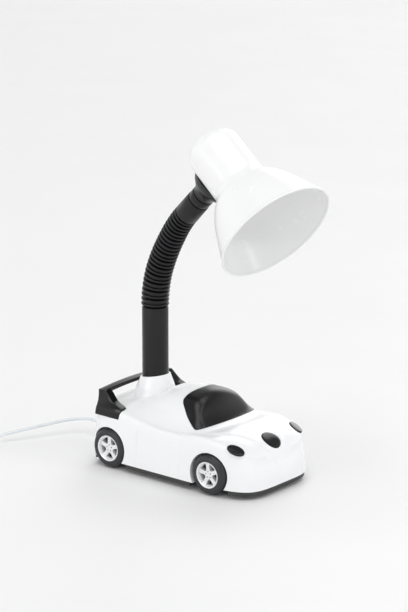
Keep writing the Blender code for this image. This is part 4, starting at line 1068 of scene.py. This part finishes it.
def coil_path():
    """Turns of cord wound inward and outward in layers, then out to the plug."""
    lead_in, lead_out, climb = math.radians(60), math.radians(75), math.radians(72)
    start = Vector([v * MM for v in CORD_ROUTE[-1]]) - COIL_CENTRE
    angle_0 = math.atan2(start.y, start.x)
    end_angle = -math.pi / 2
    total = (angle_0 - end_angle) + math.tau * COIL_TURNS
    layer = (total - lead_in - lead_out) / COIL_LAYERS
    start_radius = start.xy.length
    points = []
    count = round(total / math.tau * 26)
    radius, height = start_radius, start.z
    inner = COIL_OUTER_TURN - layer / math.tau * COIL_PITCH
    for i in range(1, count + 1):
        turned = total * i / count
        if turned < lead_in:
            t = smooth_step(turned / lead_in)
            radius = start_radius + (COIL_OUTER_TURN - start_radius) * t
            height = start.z
        elif turned < total - lead_out:
            number = min(int((turned - lead_in) / layer), COIL_LAYERS - 1)
            within = turned - lead_in - number * layer
            if number == 0:
                radius = COIL_OUTER_TURN - within / math.tau * COIL_PITCH
            else:
                spread = max(within - climb, 0) / math.tau * COIL_PITCH
                reach = (layer - climb) / math.tau * COIL_PITCH
                radius = inner + spread if number % 2 else inner + reach - spread
                height = start.z + COIL_PITCH * (number - 1 + smooth_step(within / climb))
        else:
            t = (turned - (total - lead_out)) / lead_out
            outside = inner + (layer - climb) / math.tau * COIL_PITCH
            plug_radius = (PLUG_MOUTH - COIL_CENTRE).y * -1
            radius = outside + (plug_radius - outside) * smooth_step(t)
            top = start.z + COIL_PITCH * (COIL_LAYERS - 1)
            height = top + (PLUG_MOUTH.z - top) * t * 0.8
        a = angle_0 - turned
        points.append(COIL_CENTRE + Vector((radius * math.cos(a), radius * math.sin(a), height)))
    return points


def build_cord():
    route = smooth_curve([tuple(v * MM for v in p) for p in CORD_ROUTE], 2)
    route += coil_path()
    last = route[-1]
    for t in (0.3, 0.65, 1.0):
        route.append(last.lerp(PLUG_MOUTH + Vector((-2 * MM, 0, 0)), t))
    curve = bpy.data.curves.new("mains_cord", "CURVE")
    curve.dimensions = "3D"
    curve.bevel_depth = CORD_RADIUS
    curve.bevel_resolution = 5
    curve.use_fill_caps = True
    spline = curve.splines.new("POLY")
    spline.points.add(len(route) - 1)
    for slot, point in zip(spline.points, route):
        slot.co = (*point, 1)
    spline.use_smooth = True
    cord = place_object("mains_cord", curve)
    show("mains_cord", cord, "cord_vinyl", "base", ["cord", "cord_coil"])

    tail = Matrix.Translation((TAIL_X, 0, 15 * MM)) @ Matrix.Rotation(-math.pi / 2, 4, "Y")
    gland = [(1.7, 4.2), (2.5, 4.2), (2.75, 4.0), (2.75, 3.6), (2.5, 3.4), (2.9, 3.2), (3.1, 2.9), (3.1, 2.5),
             (3.4, 2.2), (4.6, 1.9), (5.2, 1.5), (5.4, 1.0), (5.4, 0.5), (5.2, 0.3), (3.9, 0.3), (3.9, -2.6),
             (5, -2.6), (4.6, -5), (1.7, -5)]
    show("cord_boot", lathe("boot", [(r * MM, z * MM) for r, z in gland], 48), "base_black", "base",
         ["cord_gland"], tail)

    low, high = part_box("plug_body")
    middle = (low + high) / 2
    half_y, half_z = (high.y - low.y) / 2, (high.z - low.z) / 2
    rings = []
    shape = ((0, 0.93), (0.4, 0.975), (1.2, 1), (4.2, 1), (4.8, 0.955), (6.0, 0.955), (6.6, 1), (7.8, 1),
             (8.4, 0.955), (9.6, 0.955), (10.2, 1), (11.4, 1), (12, 0.95), (13.5, 0.9), (15.5, 0.78),
             (17.4, 0.6), (18.6, 0.44), (19.4, 0.38))
    for reach, share in shape:
        outline = rounded_box(half_y * share, half_z * share, min(3.6 * MM, half_z * share * 0.62), 6)
        rings.append([(low.x + reach * MM, middle.y + y, middle.z + z) for y, z in outline])
    for reach, radius in ((19.8, 2.9), (20.6, 2.9), (21, 2.45), (21.8, 2.45), (22.2, 2.75), (23, 2.75),
                          (23.4, 2.3), (24.2, 2.3), (24.6, 2.55), (25.3, 2.5), (25.8, 2.2), (26, 1.7)):
        outline = rounded_box(radius * MM, radius * MM, radius * MM * 0.98, 6)
        rings.append([(low.x + reach * MM, middle.y + y, middle.z + z) for y, z in outline])
    plug = show("mains_plug", loft("plug", rings), "cord_vinyl", "base", ["plug_body"])
    relabel(("plug_blade_left", "plug_blade_right"), "brass")
    relabel(("supply_lead",), "cord_vinyl")
    relabel(("terminal_block",), "holder_plastic")

    angle = math.radians(128)
    around = Matrix.Translation(COIL_CENTRE) @ Matrix.Rotation(angle, 4, "Z")
    around = around @ Matrix.Rotation(math.pi / 2, 4, "X")
    reach = 5.95 * MM
    top = 1.9 * MM + COIL_PITCH * (COIL_LAYERS - 1) + CORD_RADIUS
    half_height = (top + 0.3 * MM - 0.1 * MM) / 2
    outer_band = rounded_box(reach, half_height, 2 * MM, 6)
    inner_band = rounded_box(reach - 0.3 * MM, half_height - 0.3 * MM, 1.7 * MM, 6)
    centre_radius, centre_height = 17.95 * MM, 0.1 * MM + half_height
    loops = []
    edge = 2 * MM
    for outline, z in ((outer_band, -edge), (outer_band, edge), (inner_band, edge), (inner_band, -edge)):
        loops.append([(centre_radius + x, centre_height + y, z) for x, y in outline])
    tie = show("coil_tie", loft("tie", loops, closed_along=True), "base_black", "base", (), around,
               mat=MATERIALS["tie_black"])


def relabel(nodes, slot):
    """Give CAD nodes that stay on show the detailed material of their slot."""
    for node in nodes:
        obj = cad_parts[node]
        if not obj.material_slots:
            obj.data.materials.append(MATERIALS[slot])
        for holder in obj.material_slots:
            holder.material = MATERIALS[slot]


MATERIALS = make_materials()
build_studio()
build_cord()
build_body()
build_spoiler()
build_button()
build_wheels()
build_base()
build_neck()
build_head()
